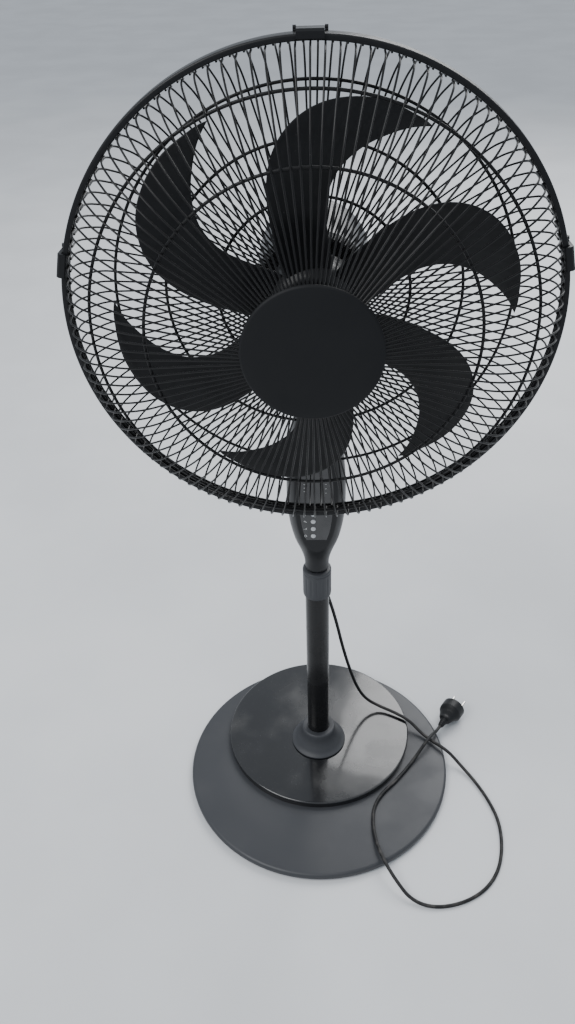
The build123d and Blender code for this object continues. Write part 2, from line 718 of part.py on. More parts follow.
# ---- grilles ------------------------------------------------------------------------------
# Spoke centre lines in (radius, forward) form, with the bend radius at each inner corner.
SPOKE_END_R = RIM_R - 7.6
FRONT_SPOKE = ((58, 96.7), (185, 66), (224, 42), (SPOKE_END_R, 22), (SPOKE_END_R, 0.4))
FRONT_BENDS = (120, 40, 30)
REAR_SPOKE = ((46, -47.4), (165, -47.4), (221, -42), (SPOKE_END_R, -20), (SPOKE_END_R, -0.4))
REAR_BENDS = (200, 28, 28)


def spoke(points, bends):
    """One bent wire of a grille, standing in the plane of the head's +X radius."""
    with BuildPart() as wire:
        with BuildLine(head_profile) as centre:
            FilletPolyline(*points, radius=list(bends))
        path = centre.line
        with BuildSketch(Plane(origin=path @ 0, z_dir=path % 0)) as section:
            Circle(SPOKE_R)
        sweep(section.sketch, path=path)
    return wire.part


def spokes(points, bends, first):
    """A full round of wires as separate solids."""
    wire = spoke(points, bends)
    return Compound([wire.rotate(head_axis, first + 360 / SPOKES * i) for i in range(SPOKES)])


def beside(points, run, radius, side):
    """Centre of a ring wire that touches the spokes on one side of a straight run."""
    (r0, f0), (r1, f1) = points[run], points[run + 1]
    length = hypot(r1 - r0, f1 - f0)
    along = (radius - r0) / (r1 - r0)
    reach = side * (SPOKE_R + RING_WIRE_R + 0.01)
    return (radius - reach * (f1 - f0) / length, f0 + along * (f1 - f0) + reach * (r1 - r0) / length)


def ring(centre, wire_r):
    with BuildSketch(head_profile) as section:
        with Locations(centre):
            Circle(wire_r)
    revolve(section.sketch, axis=head_axis)


finish(spokes(FRONT_SPOKE, FRONT_BENDS, 0), "front_grille_wires")
finish(spokes(REAR_SPOKE, REAR_BENDS, 180 / SPOKES), "rear_grille_wires")

RIM_WIRE_R = 1.8
RIM_WIRE_AT = SPOKE_END_R + SPOKE_R + RIM_WIRE_R + 0.01
with BuildPart() as front_grille_rings:
    ring(beside(FRONT_SPOKE, 0, 63.0, -1), RING_WIRE_R)
    ring(beside(FRONT_SPOKE, 0, 159.5, -1), RING_WIRE_R)
    ring(beside(FRONT_SPOKE, 1, 216.0, -1), RING_WIRE_R)
    ring((RIM_WIRE_AT, 2.2), RIM_WIRE_R)
finish(front_grille_rings.part, "front_grille_rings")

with BuildPart() as rear_grille_rings:
    ring(beside(REAR_SPOKE, 0, 100.0, 1), RING_WIRE_R)
    ring(beside(REAR_SPOKE, 0, 154.0, 1), RING_WIRE_R)
    ring(beside(REAR_SPOKE, 1, 206.0, 1), RING_WIRE_R)
    ring((RIM_WIRE_AT, -2.2), RIM_WIRE_R)
finish(rear_grille_rings.part, "rear_grille_rings")

# Pressed plate in the middle of the rear grille, clamped on the motor's nose by a ring nut.
with BuildPart() as rear_grille_plate:
    ring_solid(head_front.offset(GRILLE_SEAT_F - 1.0), 57, 20.4, 1.55)
finish(rear_grille_plate.part, "rear_grille_plate")

with BuildPart() as grille_nut:
    ring_solid(head_front.offset(GRILLE_SEAT_F + 0.65), 43, 20.1, 2.2)
    ring_solid(head_front.offset(GRILLE_SEAT_F + 2.5), 33, 20.1, 7.5)
    with BuildSketch(head_front.offset(GRILLE_SEAT_F + 3.2)):
        with PolarLocations(34.5, 18):
            Circle(2.6)
    extrude(amount=10, mode=Mode.SUBTRACT)
finish(grille_nut.part, "grille_nut")

with BuildPart() as badge_plate:
    ring_solid(head_front.offset(93.4), 56.4, 0, 4.5)
    ring_solid(head_front.offset(91.6), 59.8, 0, 1.8)
finish(badge_plate.part, "badge_plate")

with BuildPart() as badge:
    with BuildSketch(head_profile):
        with BuildLine():
            Polyline((0, 98), (58, 98), (BADGE_R, 95.8), (BADGE_R, 97.2), (BADGE_R - 1.2, 98.6),
                     (58, 100.2), (38, 101.2), (16, 101.6), (0, 101.6), close=True)
        make_face()
    revolve(axis=head_axis)
finish(badge.part, "badge")

# ---- rim ----------------------------------------------------------------------------------
CLIP_ANGLES = {"top": 90.0, "left": 167.5, "right": 12.5}
CLIP_PIVOT = (RIM_R + 1.6, -RIM_W / 2)
CLIP_HALF = 12.0
CLIP_UNDER = RIM_R + 0.4     # radius of the clip's underside
CLIP_TOP = RIM_R + 3.6       # radius of its outer face


def clip_plane(angle, across_by):
    """Radial plane of the head at an angle, shifted along the rim's tangent."""
    turn = radians(angle)
    radial = Vector(cos(turn), 0, sin(turn))
    tangent = Vector(-sin(turn), 0, cos(turn))
    return Plane(origin=HEAD + tangent * across_by, x_dir=radial, z_dir=tangent)


# Local axes of clip_plane are the radius and then backward (+Y) for a tangent that runs
# anticlockwise seen from the front, so "forward" values change sign in it.
def clip_points(*points):
    return [(r, -f) for r, f in points]


with BuildPart() as rim_band:
    with BuildSketch(head_profile):
        with BuildLine():
            half = RIM_W / 2
            Polyline((RIM_R, half - 1), (RIM_R - 1, half), (RIM_R - 5.8, half), (RIM_R - 5.8, half - 2.3),
                     (RIM_R - 2.8, half - 2.3), (RIM_R - 2.8, 2.3 - half), (RIM_R - 5.8, 2.3 - half),
                     (RIM_R - 5.8, -half), (RIM_R - 1, -half), (RIM_R, 1 - half), close=True)
        make_face()
    revolve(axis=head_axis)
    for angle in CLIP_ANGLES.values():
        for start in (-CLIP_HALF - 3.2, CLIP_HALF + 0.2):
            with BuildSketch(clip_plane(angle, start)) as lug:
                with Locations(*clip_points(CLIP_PIVOT)):
                    Circle(2.2)
                with Locations(*clip_points((RIM_R - 0.5, CLIP_PIVOT[1] + 1.0))):
                    Rectangle(5, 5)
                with Locations(*clip_points(CLIP_PIVOT)):
                    Circle(0.95, mode=Mode.SUBTRACT)
            extrude(lug.sketch, amount=3.0)
finish(rim_band.part, "rim_band")

for side, angle in CLIP_ANGLES.items():
    with BuildPart() as clip:
        with BuildSketch(clip_plane(angle, -CLIP_HALF)) as hook:
            with BuildLine():
                front = RIM_W / 2 + 2.6
                Polyline(*clip_points(
                    (CLIP_UNDER, CLIP_PIVOT[1]), (CLIP_UNDER, RIM_W / 2 + 0.3),
                    (RIM_R - 5.5, RIM_W / 2 + 0.3), (RIM_R - 5.5, front - 1), (RIM_R - 4, front),
                    (CLIP_TOP - 2, front), (CLIP_TOP, front - 2), (CLIP_TOP - 1, CLIP_PIVOT[1]),
                    (CLIP_UNDER, CLIP_PIVOT[1])))
            make_face()
            with Locations(*clip_points(CLIP_PIVOT)):
                Circle(1.2)
        extrude(hook.sketch, amount=2 * CLIP_HALF)
        with BuildSketch(clip_plane(angle, -CLIP_HALF - 2.8)) as pin:
            with Locations(*clip_points(CLIP_PIVOT)):
                Circle(0.9)
        extrude(pin.sketch, amount=2 * CLIP_HALF + 5.6)
    finish(clip.part, f"rim_clip_{side}")

# ---- supply cord --------------------------------------------------------------------------
EXIT = Vector(4, POLE_Y + 25, 388)
with BuildPart() as cord_gland:
    with BuildSketch(Plane(origin=EXIT, x_dir=(1, 0, 0), z_dir=(0, -1, 0))):
        with BuildLine():
            Polyline((0, 0), (3.3, 0), (5.2, 27.8), (3.5, 27.8), (3.5, 46), (0, 46), close=True)
        make_face()
    revolve(axis=Axis(EXIT, (0, 0, 1)))
finish(cord_gland.part, "cord_gland")

# The plug lies on its side beside the base. Its moulded boot ends where the cord begins.
PLUG_DIR = Vector(0.56, 0.83, 0).normalized()
PLUG_BACK = Vector(206.5, 78.6, 18.5)
PLUG_R = 18.5
BOOT = 16.0
plug_plane = Plane(origin=PLUG_BACK, x_dir=(PLUG_DIR.Y, -PLUG_DIR.X, 0), z_dir=PLUG_DIR)
with BuildPart() as plug_body:
    with BuildSketch(plug_plane.offset(-BOOT)):
        Circle(3.4)
    with BuildSketch(plug_plane.offset(-1)):
        Circle(6.4)
    loft()
    with BuildSketch(plug_plane.offset(-1)):
        Circle(9)
    with BuildSketch(plug_plane.offset(14)):
        Circle(PLUG_R)
    loft()
    with BuildSketch(plug_plane.offset(14)):
        Circle(PLUG_R)
    extrude(amount=20)
    with BuildSketch(plug_plane.offset(17)):
        with Locations((0, PLUG_R), (0, -PLUG_R)):
            Rectangle(7, 3)
    extrude(amount=20, mode=Mode.SUBTRACT)
    with BuildSketch(plug_plane.offset(22)):
        with Locations((9.5, 0), (-9.5, 0)):
            Circle(2.4)
    extrude(amount=20, mode=Mode.SUBTRACT)
finish(plug_body.part, "plug_body")

with BuildPart() as plug_pins:
    with BuildSketch(plug_plane.offset(22)):
        with Locations((9.5, 0), (-9.5, 0)):
            Circle(2.4)
    extrude(amount=31)
    fillet(plug_pins.faces().sort_by(Axis(PLUG_BACK, PLUG_DIR))[-2:].edges(), 1.2)
finish(plug_pins.part, "plug_pins")

# The free cord: down behind the pole, over both discs of the base, round in one loose loop on
# the floor, back over the lower disc and across itself to the plug.
boot_end = PLUG_BACK - PLUG_DIR * BOOT
ROUTE = (
    tuple(EXIT), (4, 56, 364), (9, 60, 328), (20, 62, 287), (29, 62, 246), (36, 67, 204),
    (44, 74, 162), (53, 80, 122), (63, 87, 84), (77, 93, 52), (99, 94, 34), (126, 82, 31),
    (148, 68, 28), (165, 52, 18.5), (181, 36, 17.5), (197, 22, 19), (209, 11.5, 16), (224, -3, 6),
    (241, -27, 2.7), (257, -60, 2.6), (269, -100, 2.6), (267, -145, 2.6), (255, -184, 2.6),
    (231, -214, 2.6), (196, -233, 2.6), (158, -239, 2.6), (128, -229, 5), (108, -205, 15),
    (94, -180, 19.5), (84, -151, 18.5), (80, -119, 17), (83, -88, 17.5), (97, -64, 18),
    (118, -43, 17.5), (137, -19, 17.5), (154, 4, 20), (168, 22, 27), (180, 39, 27),
    tuple(boot_end - PLUG_DIR * 13), tuple(boot_end),
)
route = [Vector(*point) for point in ROUTE]
runs = [b - a for a, b in zip(route, route[1:])]
turns = [a.get_angle(b) for a, b in zip(runs, runs[1:])]
radii = [0.45 * min(a.length, b.length) / tan(radians(turn) / 2)
         for a, b, turn in zip(runs, runs[1:], turns)]
print("cord bend radii:", [round(r) for r in radii], "least", round(min(radii), 1))
with BuildPart() as power_cord:
    with BuildLine() as cord_line:
        FilletPolyline(*route, radius=radii)
    cord_path = cord_line.line
    with BuildSketch(Plane(origin=cord_path @ 0, z_dir=cord_path % 0)) as cord_section:
        Circle(CORD_R)
    sweep(cord_section.sketch, path=cord_path)
finish(power_cord.part, "power_cord")
cord_length = sum(edge.length for edge in cord_path.edges())
print("cord length", round(cord_length, 1), "volume ratio",
      round(power_cord.part.volume / (cord_length * pi * CORD_R ** 2), 4))
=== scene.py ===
from math import cos, hypot, pi, radians, sin, tau

import bmesh
import bpy
from mathutils import Matrix, Vector


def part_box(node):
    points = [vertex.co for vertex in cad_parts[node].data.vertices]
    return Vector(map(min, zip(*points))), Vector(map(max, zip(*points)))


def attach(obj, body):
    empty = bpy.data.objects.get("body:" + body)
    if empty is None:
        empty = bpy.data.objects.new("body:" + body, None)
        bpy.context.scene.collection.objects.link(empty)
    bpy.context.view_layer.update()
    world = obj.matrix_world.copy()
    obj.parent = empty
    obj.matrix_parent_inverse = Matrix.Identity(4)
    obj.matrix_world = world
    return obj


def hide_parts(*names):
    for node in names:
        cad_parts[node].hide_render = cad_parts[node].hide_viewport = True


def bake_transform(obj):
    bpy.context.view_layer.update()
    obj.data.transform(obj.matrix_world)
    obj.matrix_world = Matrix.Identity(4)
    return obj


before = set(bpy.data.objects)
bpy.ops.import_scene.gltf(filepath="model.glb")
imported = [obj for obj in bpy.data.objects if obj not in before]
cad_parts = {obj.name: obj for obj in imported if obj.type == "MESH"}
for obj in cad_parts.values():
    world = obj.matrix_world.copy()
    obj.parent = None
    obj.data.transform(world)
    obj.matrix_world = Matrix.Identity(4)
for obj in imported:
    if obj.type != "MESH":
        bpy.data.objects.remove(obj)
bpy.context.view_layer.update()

scene = bpy.context.scene

# ---- the studio ---------------------------------------------------------------------------
# A pale floor that runs to the horizon, a pale surround and two large soft lamps. The camera
# looks down on the fan from just above its head.
camera = bpy.data.objects.new("camera", bpy.data.cameras.new("camera"))
scene.collection.objects.link(camera)
scene.camera = camera
camera.data.sensor_fit = "VERTICAL"
camera.data.sensor_height = 24.0
camera.data.lens = 21.09
camera.data.clip_end = 100
heading, pitch, roll = radians(2.983), radians(36.437), radians(-1.918)
ahead = Vector((-sin(heading) * cos(pitch), cos(heading) * cos(pitch), -sin(pitch)))
level_right = Vector((cos(heading), sin(heading), 0))
level_up = level_right.cross(ahead)
view_right = level_right * cos(roll) + level_up * sin(roll)
view_up = level_up * cos(roll) - level_right * sin(roll)
turned = Matrix((view_right, view_up, -ahead)).transposed().to_4x4()
CAMERA_AT = (0.0114, -0.9137, 1.1771)
camera.matrix_world = Matrix.Translation(CAMERA_AT) @ turned


class Sock:
    """One socket of a material, so that shader maths reads as plain expressions."""

    def __init__(self, tree, out):
        self.tree = tree
        self.out = out

    def node(self, kind, sockets=(), out=0, **settings):
        """Adds a node: its settings first, then the values or links of its input sockets."""
        made = self.tree.nodes.new("ShaderNode" + kind)
        for name, value in settings.items():
            setattr(made, name, value)
        for key, value in dict(sockets).items():
            if isinstance(value, Sock):
                self.tree.links.new(value.out, made.inputs[key])
            else:
                made.inputs[key].default_value = value
        return Sock(self.tree, made.outputs[out])

    def maths(self, operation, *values):
        return self.node("Math", enumerate(values), operation=operation)

    def __add__(self, other):
        return self.maths("ADD", self, other)

    def __sub__(self, other):
        return self.maths("SUBTRACT", self, other)

    def __rsub__(self, other):
        return self.maths("SUBTRACT", other, self)

    def __mul__(self, other):
        return self.maths("MULTIPLY", self, other)

    __radd__ = __add__
    __rmul__ = __mul__

    def noise(self, size, detail=3.0):
        """Soft noise whose patches are about size metres across; self is the position."""
        return self.node("TexNoise", {"Vector": self, "Scale": 1 / size, "Detail": detail})

    def band(self, low, high):
        """0 below low, 1 above high, smooth between."""
        sockets = {"Value": self, "From Min": low, "From Max": high}
        return self.node("MapRange", sockets, interpolation_type="SMOOTHSTEP")

    def blend(self, first, second):
        """A colour between two, by this factor."""
        return self.node("Mix", {0: self, 6: first, 7: second}, out=2, data_type="RGBA")

    def facing_up(self):
        """1 on faces that look up and can hold dust."""
        normal = self.node("NewGeometry", out="Normal")
        return self.node("SeparateXYZ", {0: normal}, out="Z")

    def feed(self, shader, **inputs):
        """Links values to sockets of the shader, underscores standing for spaces."""
        for name, value in inputs.items():
            self.tree.links.new(value.out, shader.inputs[name.replace("_", " ")])


def new_material(name, **constants):
    """A material, the socket of its object position, and its shader with constants set."""
    material = bpy.data.materials.new(name)
    material.use_nodes = True
    tree = material.node_tree
    shader = tree.nodes["Principled BSDF"]
    for socket, value in constants.items():
        shader.inputs[socket.replace("_", " ")].default_value = value
    position = Sock(tree, tree.nodes.new("ShaderNodeTexCoord").outputs["Object"])
    return material, position, shader


floor_stuff, spot, shader = new_material("studio_floor", Roughness=0.85)
tone = spot.noise(0.35, 4).band(0.3, 0.7).blend((0.66, 0.67, 0.68, 1), (0.72, 0.73, 0.74, 1))
spot.feed(shader, Base_Color=tone)
floor_mesh = bpy.data.meshes.new("floor")
FLOOR_REACH = 30.0
corners = [(x * FLOOR_REACH, y * FLOOR_REACH, 0) for x, y in ((-1, -1), (1, -1), (1, 1), (-1, 1))]
floor_mesh.from_pydata(corners, [], [(0, 1, 2, 3)])
floor_mesh.materials.append(floor_stuff)
floor = bpy.data.objects.new("floor", floor_mesh)
scene.collection.objects.link(floor)

world = bpy.data.worlds.new("surround")
scene.world = world
world.use_nodes = True
surround = world.node_tree.nodes["Background"]
surround.inputs["Color"].default_value = (0.80, 0.86, 0.94, 1)
surround.inputs["Strength"].default_value = 0.75
LAMPS = (("key_lamp", (-1.6, -1.2, 2.8), 1.8, 60), ("back_lamp", (1.3, 2.4, 2.6), 2.2, 90))
LAMP_AIM = Vector((0, 0, 0.5))
for name, where, size, power in LAMPS:
    lamp = bpy.data.objects.new(name, bpy.data.lights.new(name, "AREA"))
    scene.collection.objects.link(lamp)
    lamp.data.size = size
    lamp.data.energy = power
    lamp.location = where
    lamp.rotation_euler = (LAMP_AIM - Vector(where)).to_track_quat("-Z", "Y").to_euler()

# ---- mains cord ---------------------------------------------------------------------------
# Round black vinyl cord, 5 mm thick and about 1.2 m long. It leaves the back of the control
# housing, drops behind the pole, runs over both discs and lies in one loose loop on the floor.
MM = 0.001
CORD_R = 2.5 * MM
gland_low, gland_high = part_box("cord_gland")
cord_exit = Vector(((gland_low[0] + gland_high[0]) / 2, (gland_low[1] + gland_high[1]) / 2, gland_low[2]))
plug_aim = Vector((0.56, 0.83, 0)).normalized()
plug_back = Vector((0.2065, 0.0786, 0.0185))
BOOT = 16 * MM
STRAIGHT_END = 13 * MM
boot_end = plug_back - plug_aim * BOOT
ROUTE = [
    tuple(cord_exit), (0.004, 0.056, 0.364), (0.009, 0.060, 0.328), (0.020, 0.062, 0.287),
    (0.029, 0.062, 0.246), (0.036, 0.067, 0.204), (0.044, 0.074, 0.162), (0.053, 0.080, 0.122),
    (0.063, 0.087, 0.084), (0.077, 0.093, 0.052), (0.099, 0.094, 0.034), (0.126, 0.082, 0.031),
    (0.148, 0.068, 0.028), (0.165, 0.052, 0.0185), (0.181, 0.036, 0.0175), (0.197, 0.022, 0.019),
    (0.209, 0.0115, 0.016), (0.224, -0.003, 0.006), (0.241, -0.027, 0.0027),
    (0.257, -0.060, 0.0026), (0.269, -0.100, 0.0026), (0.267, -0.145, 0.0026),
    (0.255, -0.184, 0.0026), (0.231, -0.214, 0.0026), (0.196, -0.233, 0.0026),
    (0.158, -0.239, 0.0026), (0.128, -0.229, 0.005), (0.108, -0.205, 0.015),
    (0.094, -0.180, 0.0195), (0.084, -0.151, 0.0185), (0.080, -0.119, 0.017),
    (0.083, -0.088, 0.0175), (0.097, -0.064, 0.018), (0.118, -0.043, 0.0175),
    (0.137, -0.019, 0.0175), (0.154, 0.004, 0.020), (0.168, 0.022, 0.027),
    (0.180, 0.039, 0.027), tuple(boot_end - plug_aim * STRAIGHT_END), tuple(boot_end),
]


def piece(name, verts, faces, material, sharp=40.0):
    """A mesh object in the row frame: welded, with outward faces, smooth but for sharp edges."""
    mesh = bpy.data.meshes.new(name)
    mesh.from_pydata(verts, [], faces)
    work = bmesh.new()
    work.from_mesh(mesh)
    bmesh.ops.remove_doubles(work, verts=work.verts, dist=1e-7)
    bmesh.ops.recalc_face_normals(work, faces=work.faces)
    work.to_mesh(mesh)
    work.free()
    mesh.polygons.foreach_set("use_smooth", [True] * len(mesh.polygons))
    mesh.set_sharp_from_angle(angle=radians(sharp))
    mesh.materials.append(material)
    made = bpy.data.objects.new(name, mesh)
    scene.collection.objects.link(made)
    return made


def place(made, body, slot, *nodes):
    """The piece rides on a body and stands for CAD nodes; its slot is not used."""
    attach(made, body)
    if nodes:
        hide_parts(*nodes)
    return made


def rod(path, radius, sides=10):
    """Vertices and faces of a round rod along a line of points, with flat ends."""
    line = [Vector(point) for point in path]
    verts = []
    faces = []
    across = (line[1] - line[0]).orthogonal().normalized()
    for i, point in enumerate(line):
        along = (line[min(i + 1, len(line) - 1)] - line[max(i - 1, 0)]).normalized()
        across = (across - along * across.dot(along)).normalized()
        other = along.cross(across)
        for k in range(sides):
            turn = tau * k / sides
            verts.append(point + (across * cos(turn) + other * sin(turn)) * radius)
    for i in range(len(line) - 1):
        for k in range(sides):
            nearby = (k + 1) % sides
            faces.append((i * sides + k, i * sides + nearby, (i + 1) * sides + nearby, (i + 1) * sides + k))
    last = (len(line) - 1) * sides
    faces.append(tuple(range(sides)))
    faces.append(tuple(range(last, last + sides)))
    return verts, faces


def cord_vinyl():
    """Soft black vinyl with a faint mould grain and a little pale dust where it faces up."""
    material, spot, shader = new_material("cord_vinyl", Specular_IOR_Level=0.3)
    dust = spot.noise(0.012).band(0.45, 0.75) * spot.facing_up().band(0.2, 0.9) * 0.35
    grain = spot.noise(0.0007, 2)
    bump = spot.node("Bump", {"Strength": 0.25, "Distance": 0.0002, "Height": grain})
    spot.feed(shader, Base_Color=dust.blend((0.009, 0.009, 0.0095, 1), (0.15, 0.14, 0.13, 1)),
              Roughness=dust * 0.4 + 0.42 + grain * 0.08, Normal=bump)
    return material


cord_stuff = cord_vinyl()
route = bpy.data.curves.new("cord_route", "CURVE")
route.dimensions = "3D"
route.resolution_u = 10
spline = route.splines.new("NURBS")
spline.points.add(len(ROUTE) - 1)
for point, where in zip(spline.points, ROUTE):
    point.co = (*where, 1)
spline.order_u = 3
spline.use_endpoint_u = True
route_object = bpy.data.objects.new("cord_route", route)
route_line = [vertex.co.copy() for vertex in bpy.data.meshes.new_from_object(route_object).vertices]
bpy.data.objects.remove(route_object)
mains_cord = piece("mains_cord", *rod(route_line, CORD_R, 16), cord_stuff)
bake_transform(mains_cord)
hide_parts("power_cord")

# ---- lower disc of the base ---------------------------------------------------------------
# A moulded black disc, 400 mm across, with a fine satin grain. Its rim stands 10 mm deep and
# turns over into a very shallow crown; the cast weight and the pads are hidden under it.
PLATE_R = 200.0
RIM_TOP = 12.0


def soften(corners, closed=True, steps=5):
    """A line through corners (a, b, cut), each corner rounded from cut before to cut after."""
    line = []
    count = len(corners)
    for i, (a, b, cut) in enumerate(corners):
        here = Vector((a, b))
        if not cut or (not closed and i in (0, count - 1)):
            line.append(here)
            continue
        before = Vector(corners[i - 1][:2])
        after = Vector(corners[(i + 1) % count][:2])
        start = here + (before - here).normalized() * min(cut, (before - here).length * 0.49)
        end = here + (after - here).normalized() * min(cut, (after - here).length * 0.49)
        for k in range(steps + 1):
            t = k / steps
            line.append(start * (1 - t) ** 2 + here * 2 * t * (1 - t) + end * t ** 2)
    return [tuple(point) for point in line]


def lathe(profile, centre, axis=(0, 0, 1), side=(1, 0, 0), steps=200, shape=None):
    """Turns a closed profile of (radius, height) in mm about an axis through centre in mm.
    shape(radius, height, turn) may give another radius."""
    axis, side, centre = Vector(axis), Vector(side), Vector(centre)
    depth = axis.cross(side)
    count = len(profile)
    verts = []
    faces = []
    for i in range(steps):
        turn = tau * i / steps
        spoke = side * cos(turn) + depth * sin(turn)
        for r, h in profile:
            far = shape(r, h, turn) if shape else r
            verts.append((centre + spoke * far + axis * h) * MM)
        j = (i + 1) % steps
        for k in range(count):
            m = (k + 1) % count
            if profile[k][0] > 1e-6 or profile[m][0] > 1e-6:
                faces.append((i * count + k, i * count + m, j * count + m, j * count + k))
    return verts, faces


def dusty_plastic(name, rough, grain_size, grain_depth, dust_amount, coat=0.0, shine=0.5, grey=0.008):
    """Black moulded plastic: fine grain, cloudy smudges, and dust on what faces up."""
    material, spot, shader = new_material(name, Coat_Roughness=0.08, Specular_IOR_Level=shine)
    grain = spot.noise(grain_size, 2)
    smudge = spot.noise(0.05, 5).band(0.42, 0.68)
    specks = spot.noise(0.0022, 2).band(0.66, 0.76)
    cloud = spot.noise(0.09, 6).band(0.48, 0.72)
    dust = (cloud * 0.6 + specks * 0.5) * spot.facing_up().band(0.5, 0.98) * dust_amount
    bump = spot.node("Bump", {"Strength": 0.3, "Distance": grain_depth, "Height": grain})
    spot.feed(shader, Base_Color=dust.blend((grey, grey * 1.06, grey * 1.2, 1), (0.20, 0.195, 0.185, 1)),
              Roughness=smudge * 0.10 + dust * 0.5 + rough, Normal=bump,
              Coat_Weight=(1 - dust) * coat)
    return material


satin_disc = dusty_plastic("satin_disc", 0.42, 0.0009, 0.0003, 0.07, grey=0.034)
plate_profile = soften([
    (PLATE_R - 3.5, 2, 1), (PLATE_R, 3.5, 2), (PLATE_R, RIM_TOP - 2.5, 2.5), (PLATE_R - 3.2, RIM_TOP, 2),
    (150, 14.5, 12), (0, 14.5, 0), (0, 11.5, 0), (150, 11.5, 5), (PLATE_R - 4.2, RIM_TOP - 3, 1.5),
    (PLATE_R - 4.2, 2.4, 0.5)])
place(piece("lower_disc", *lathe(plate_profile, (0, 0, 0), steps=320), satin_disc),
      "base", "satin_black", "base_plate")

# ---- upper disc of the base ---------------------------------------------------------------
# A glossy black cover, 288 mm across, set back so that the two discs meet at the rear. It has
# a rounded step at its edge and gathers dust on top.
gloss_cover = dusty_plastic("gloss_cover", 0.18, 0.0016, 0.00005, 0.28, coat=0.6)
COVER_R = 144.0
cover_low, cover_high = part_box("base_cover")
cover_y = (cover_low[1] + cover_high[1]) / 2 / MM
cover_profile = soften([
    (COVER_R - 3, 14.8, 0), (COVER_R, 14.8, 0.6), (COVER_R, 24.5, 3.2), (90, 27.5, 20), (40, 29, 15),
    (0, 29, 0), (0, 26, 0), (40, 26, 5), (90, 24.5, 5), (COVER_R - 3, 21.5, 1)])
place(piece("upper_disc", *lathe(cover_profile, (0, cover_y, 0), steps=280), gloss_cover),
      "base", "gloss_black", "base_cover")

# ---- pole foot and pole -------------------------------------------------------------------
# A moulded trim ring hides the socket; the outer tube is steel with a black baked coat, a
# little scuffed.
POLE_Y = 31.0
POLE_R = 16.5
trim_plastic = dusty_plastic("trim_plastic", 0.48, 0.0011, 0.0002, 0.1, grey=0.034)
trim_profile = soften([
    (42, 29.4, 0.4), (42, 31.2, 0.9), (37, 34.6, 3), (28.5, 47, 10), (25.6, 60, 2), (24, 62, 1),
    (POLE_R + 0.2, 62, 0.3), (POLE_R + 0.2, 32, 0), (POLE_R + 6, 29.4, 0)])
place(piece("pole_trim", *lathe(trim_profile, (0, POLE_Y, 0), steps=160), trim_plastic),
      "base", "satin_black", "base_collar")


def baked_black(name, rough=0.3, peel=0.004, shine=0.5, coat=0.3):
    """Black baked enamel on metal: slight orange peel, worn a little duller in patches."""
    material, spot, shader = new_material(name, Coat_Roughness=0.12, Specular_IOR_Level=shine)
    dull = spot.noise(0.03, 4).band(0.4, 0.7)
    scuff = spot.noise(0.0016, 2).band(0.70, 0.78)
    bump = spot.node("Bump", {"Strength": 0.15, "Distance": 0.0002, "Height": spot.noise(peel, 2)})
    spot.feed(shader, Base_Color=scuff.blend((0.007, 0.007, 0.0075, 1), (0.05, 0.05, 0.05, 1)),
              Roughness=dull * 0.12 + scuff * 0.2 + rough, Normal=bump, Coat_Weight=(1 - scuff) * coat)
    return material


pole_enamel = baked_black("pole_enamel", 0.22, 0.006, 0.25, 0.12)
pole_low, pole_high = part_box("outer_pole")
tube_profile = soften([
    (POLE_R, pole_low[2] / MM, 0), (POLE_R, pole_high[2] / MM, 0.6), (POLE_R - 1.5, pole_high[2] / MM, 0.4),
    (POLE_R - 1.5, pole_low[2] / MM, 0)])
place(piece("pole_tube", *lathe(tube_profile, (0, POLE_Y, 0), steps=96), pole_enamel),
      "base", "black_paint", "outer_pole")

# ---- twist collar -------------------------------------------------------------------------
# A moulded collar that clamps the inner pole, with shallow finger flutes round it and a thin
# parting line near its top.
ring_low, ring_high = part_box("lock_collar")
COLLAR_R = 19.6
FLUTES = 16
low, high = ring_low[2] / MM, ring_high[2] / MM


def fluted(r, h, turn):
    inside = min(max((h - low - 6) / 4, 0), 1) * min(max((high - 9 - h) / 4, 0), 1)
    if r < POLE_R + 1.5:
        return r
    return r - 0.55 * inside * (0.5 + 0.5 * cos(FLUTES * turn)) ** 3


collar_heights = [low + 6 + 2 * i for i in range(int((high - low - 14) / 2))]
collar_profile = soften(
    [(POLE_R + 0.1, low, 0), (COLLAR_R - 0.6, low, 1.2), (COLLAR_R, low + 4, 1)]
    + [(COLLAR_R, h, 0) for h in collar_heights]
    + [(COLLAR_R, high - 6.6, 0.2), (COLLAR_R - 0.7, high - 6.2, 0.2), (COLLAR_R - 0.7, high - 5.6, 0.2),
       (COLLAR_R, high - 5.2, 0.2), (COLLAR_R, high - 1, 2.2), (13.7, high, 0.4), (13.7, high - 3.5, 0),
       (POLE_R + 0.9, high - 3.5, 0), (POLE_R + 0.1, low + 19, 0)], steps=3)
place(piece("twist_collar", *lathe(collar_profile, (0, POLE_Y, 0), steps=256, shape=fluted), trim_plastic),
      "collar", "satin_black", "lock_collar")

# ---- control housing ----------------------------------------------------------------------
# Two moulded halves screwed together round the top of the inner pole. The front is cut flat
# for the panel, and a fine groove runs down each side where the halves meet.
HOUSING_LEVELS = (
    (388, 16.0, 16.0), (404, 17.0, 17.0), (420, 21.5, 20.0), (440, 29.0, 27.0), (462, 34.2, 31.0),
    (484, 37.0, 33.2), (506, 38.0, 34.0), (528, 37.8, 34.2), (550, 36.6, 33.6), (572, 34.6, 32.2),
    (594, 31.6, 30.0), (615, 27.6, 26.8), (636, 22.0, 22.0))
PANEL_Y = 7.0
housing_plastic = dusty_plastic("housing_plastic", 0.33, 0.0008, 0.00015, 0.25, coat=0.05, shine=0.3)


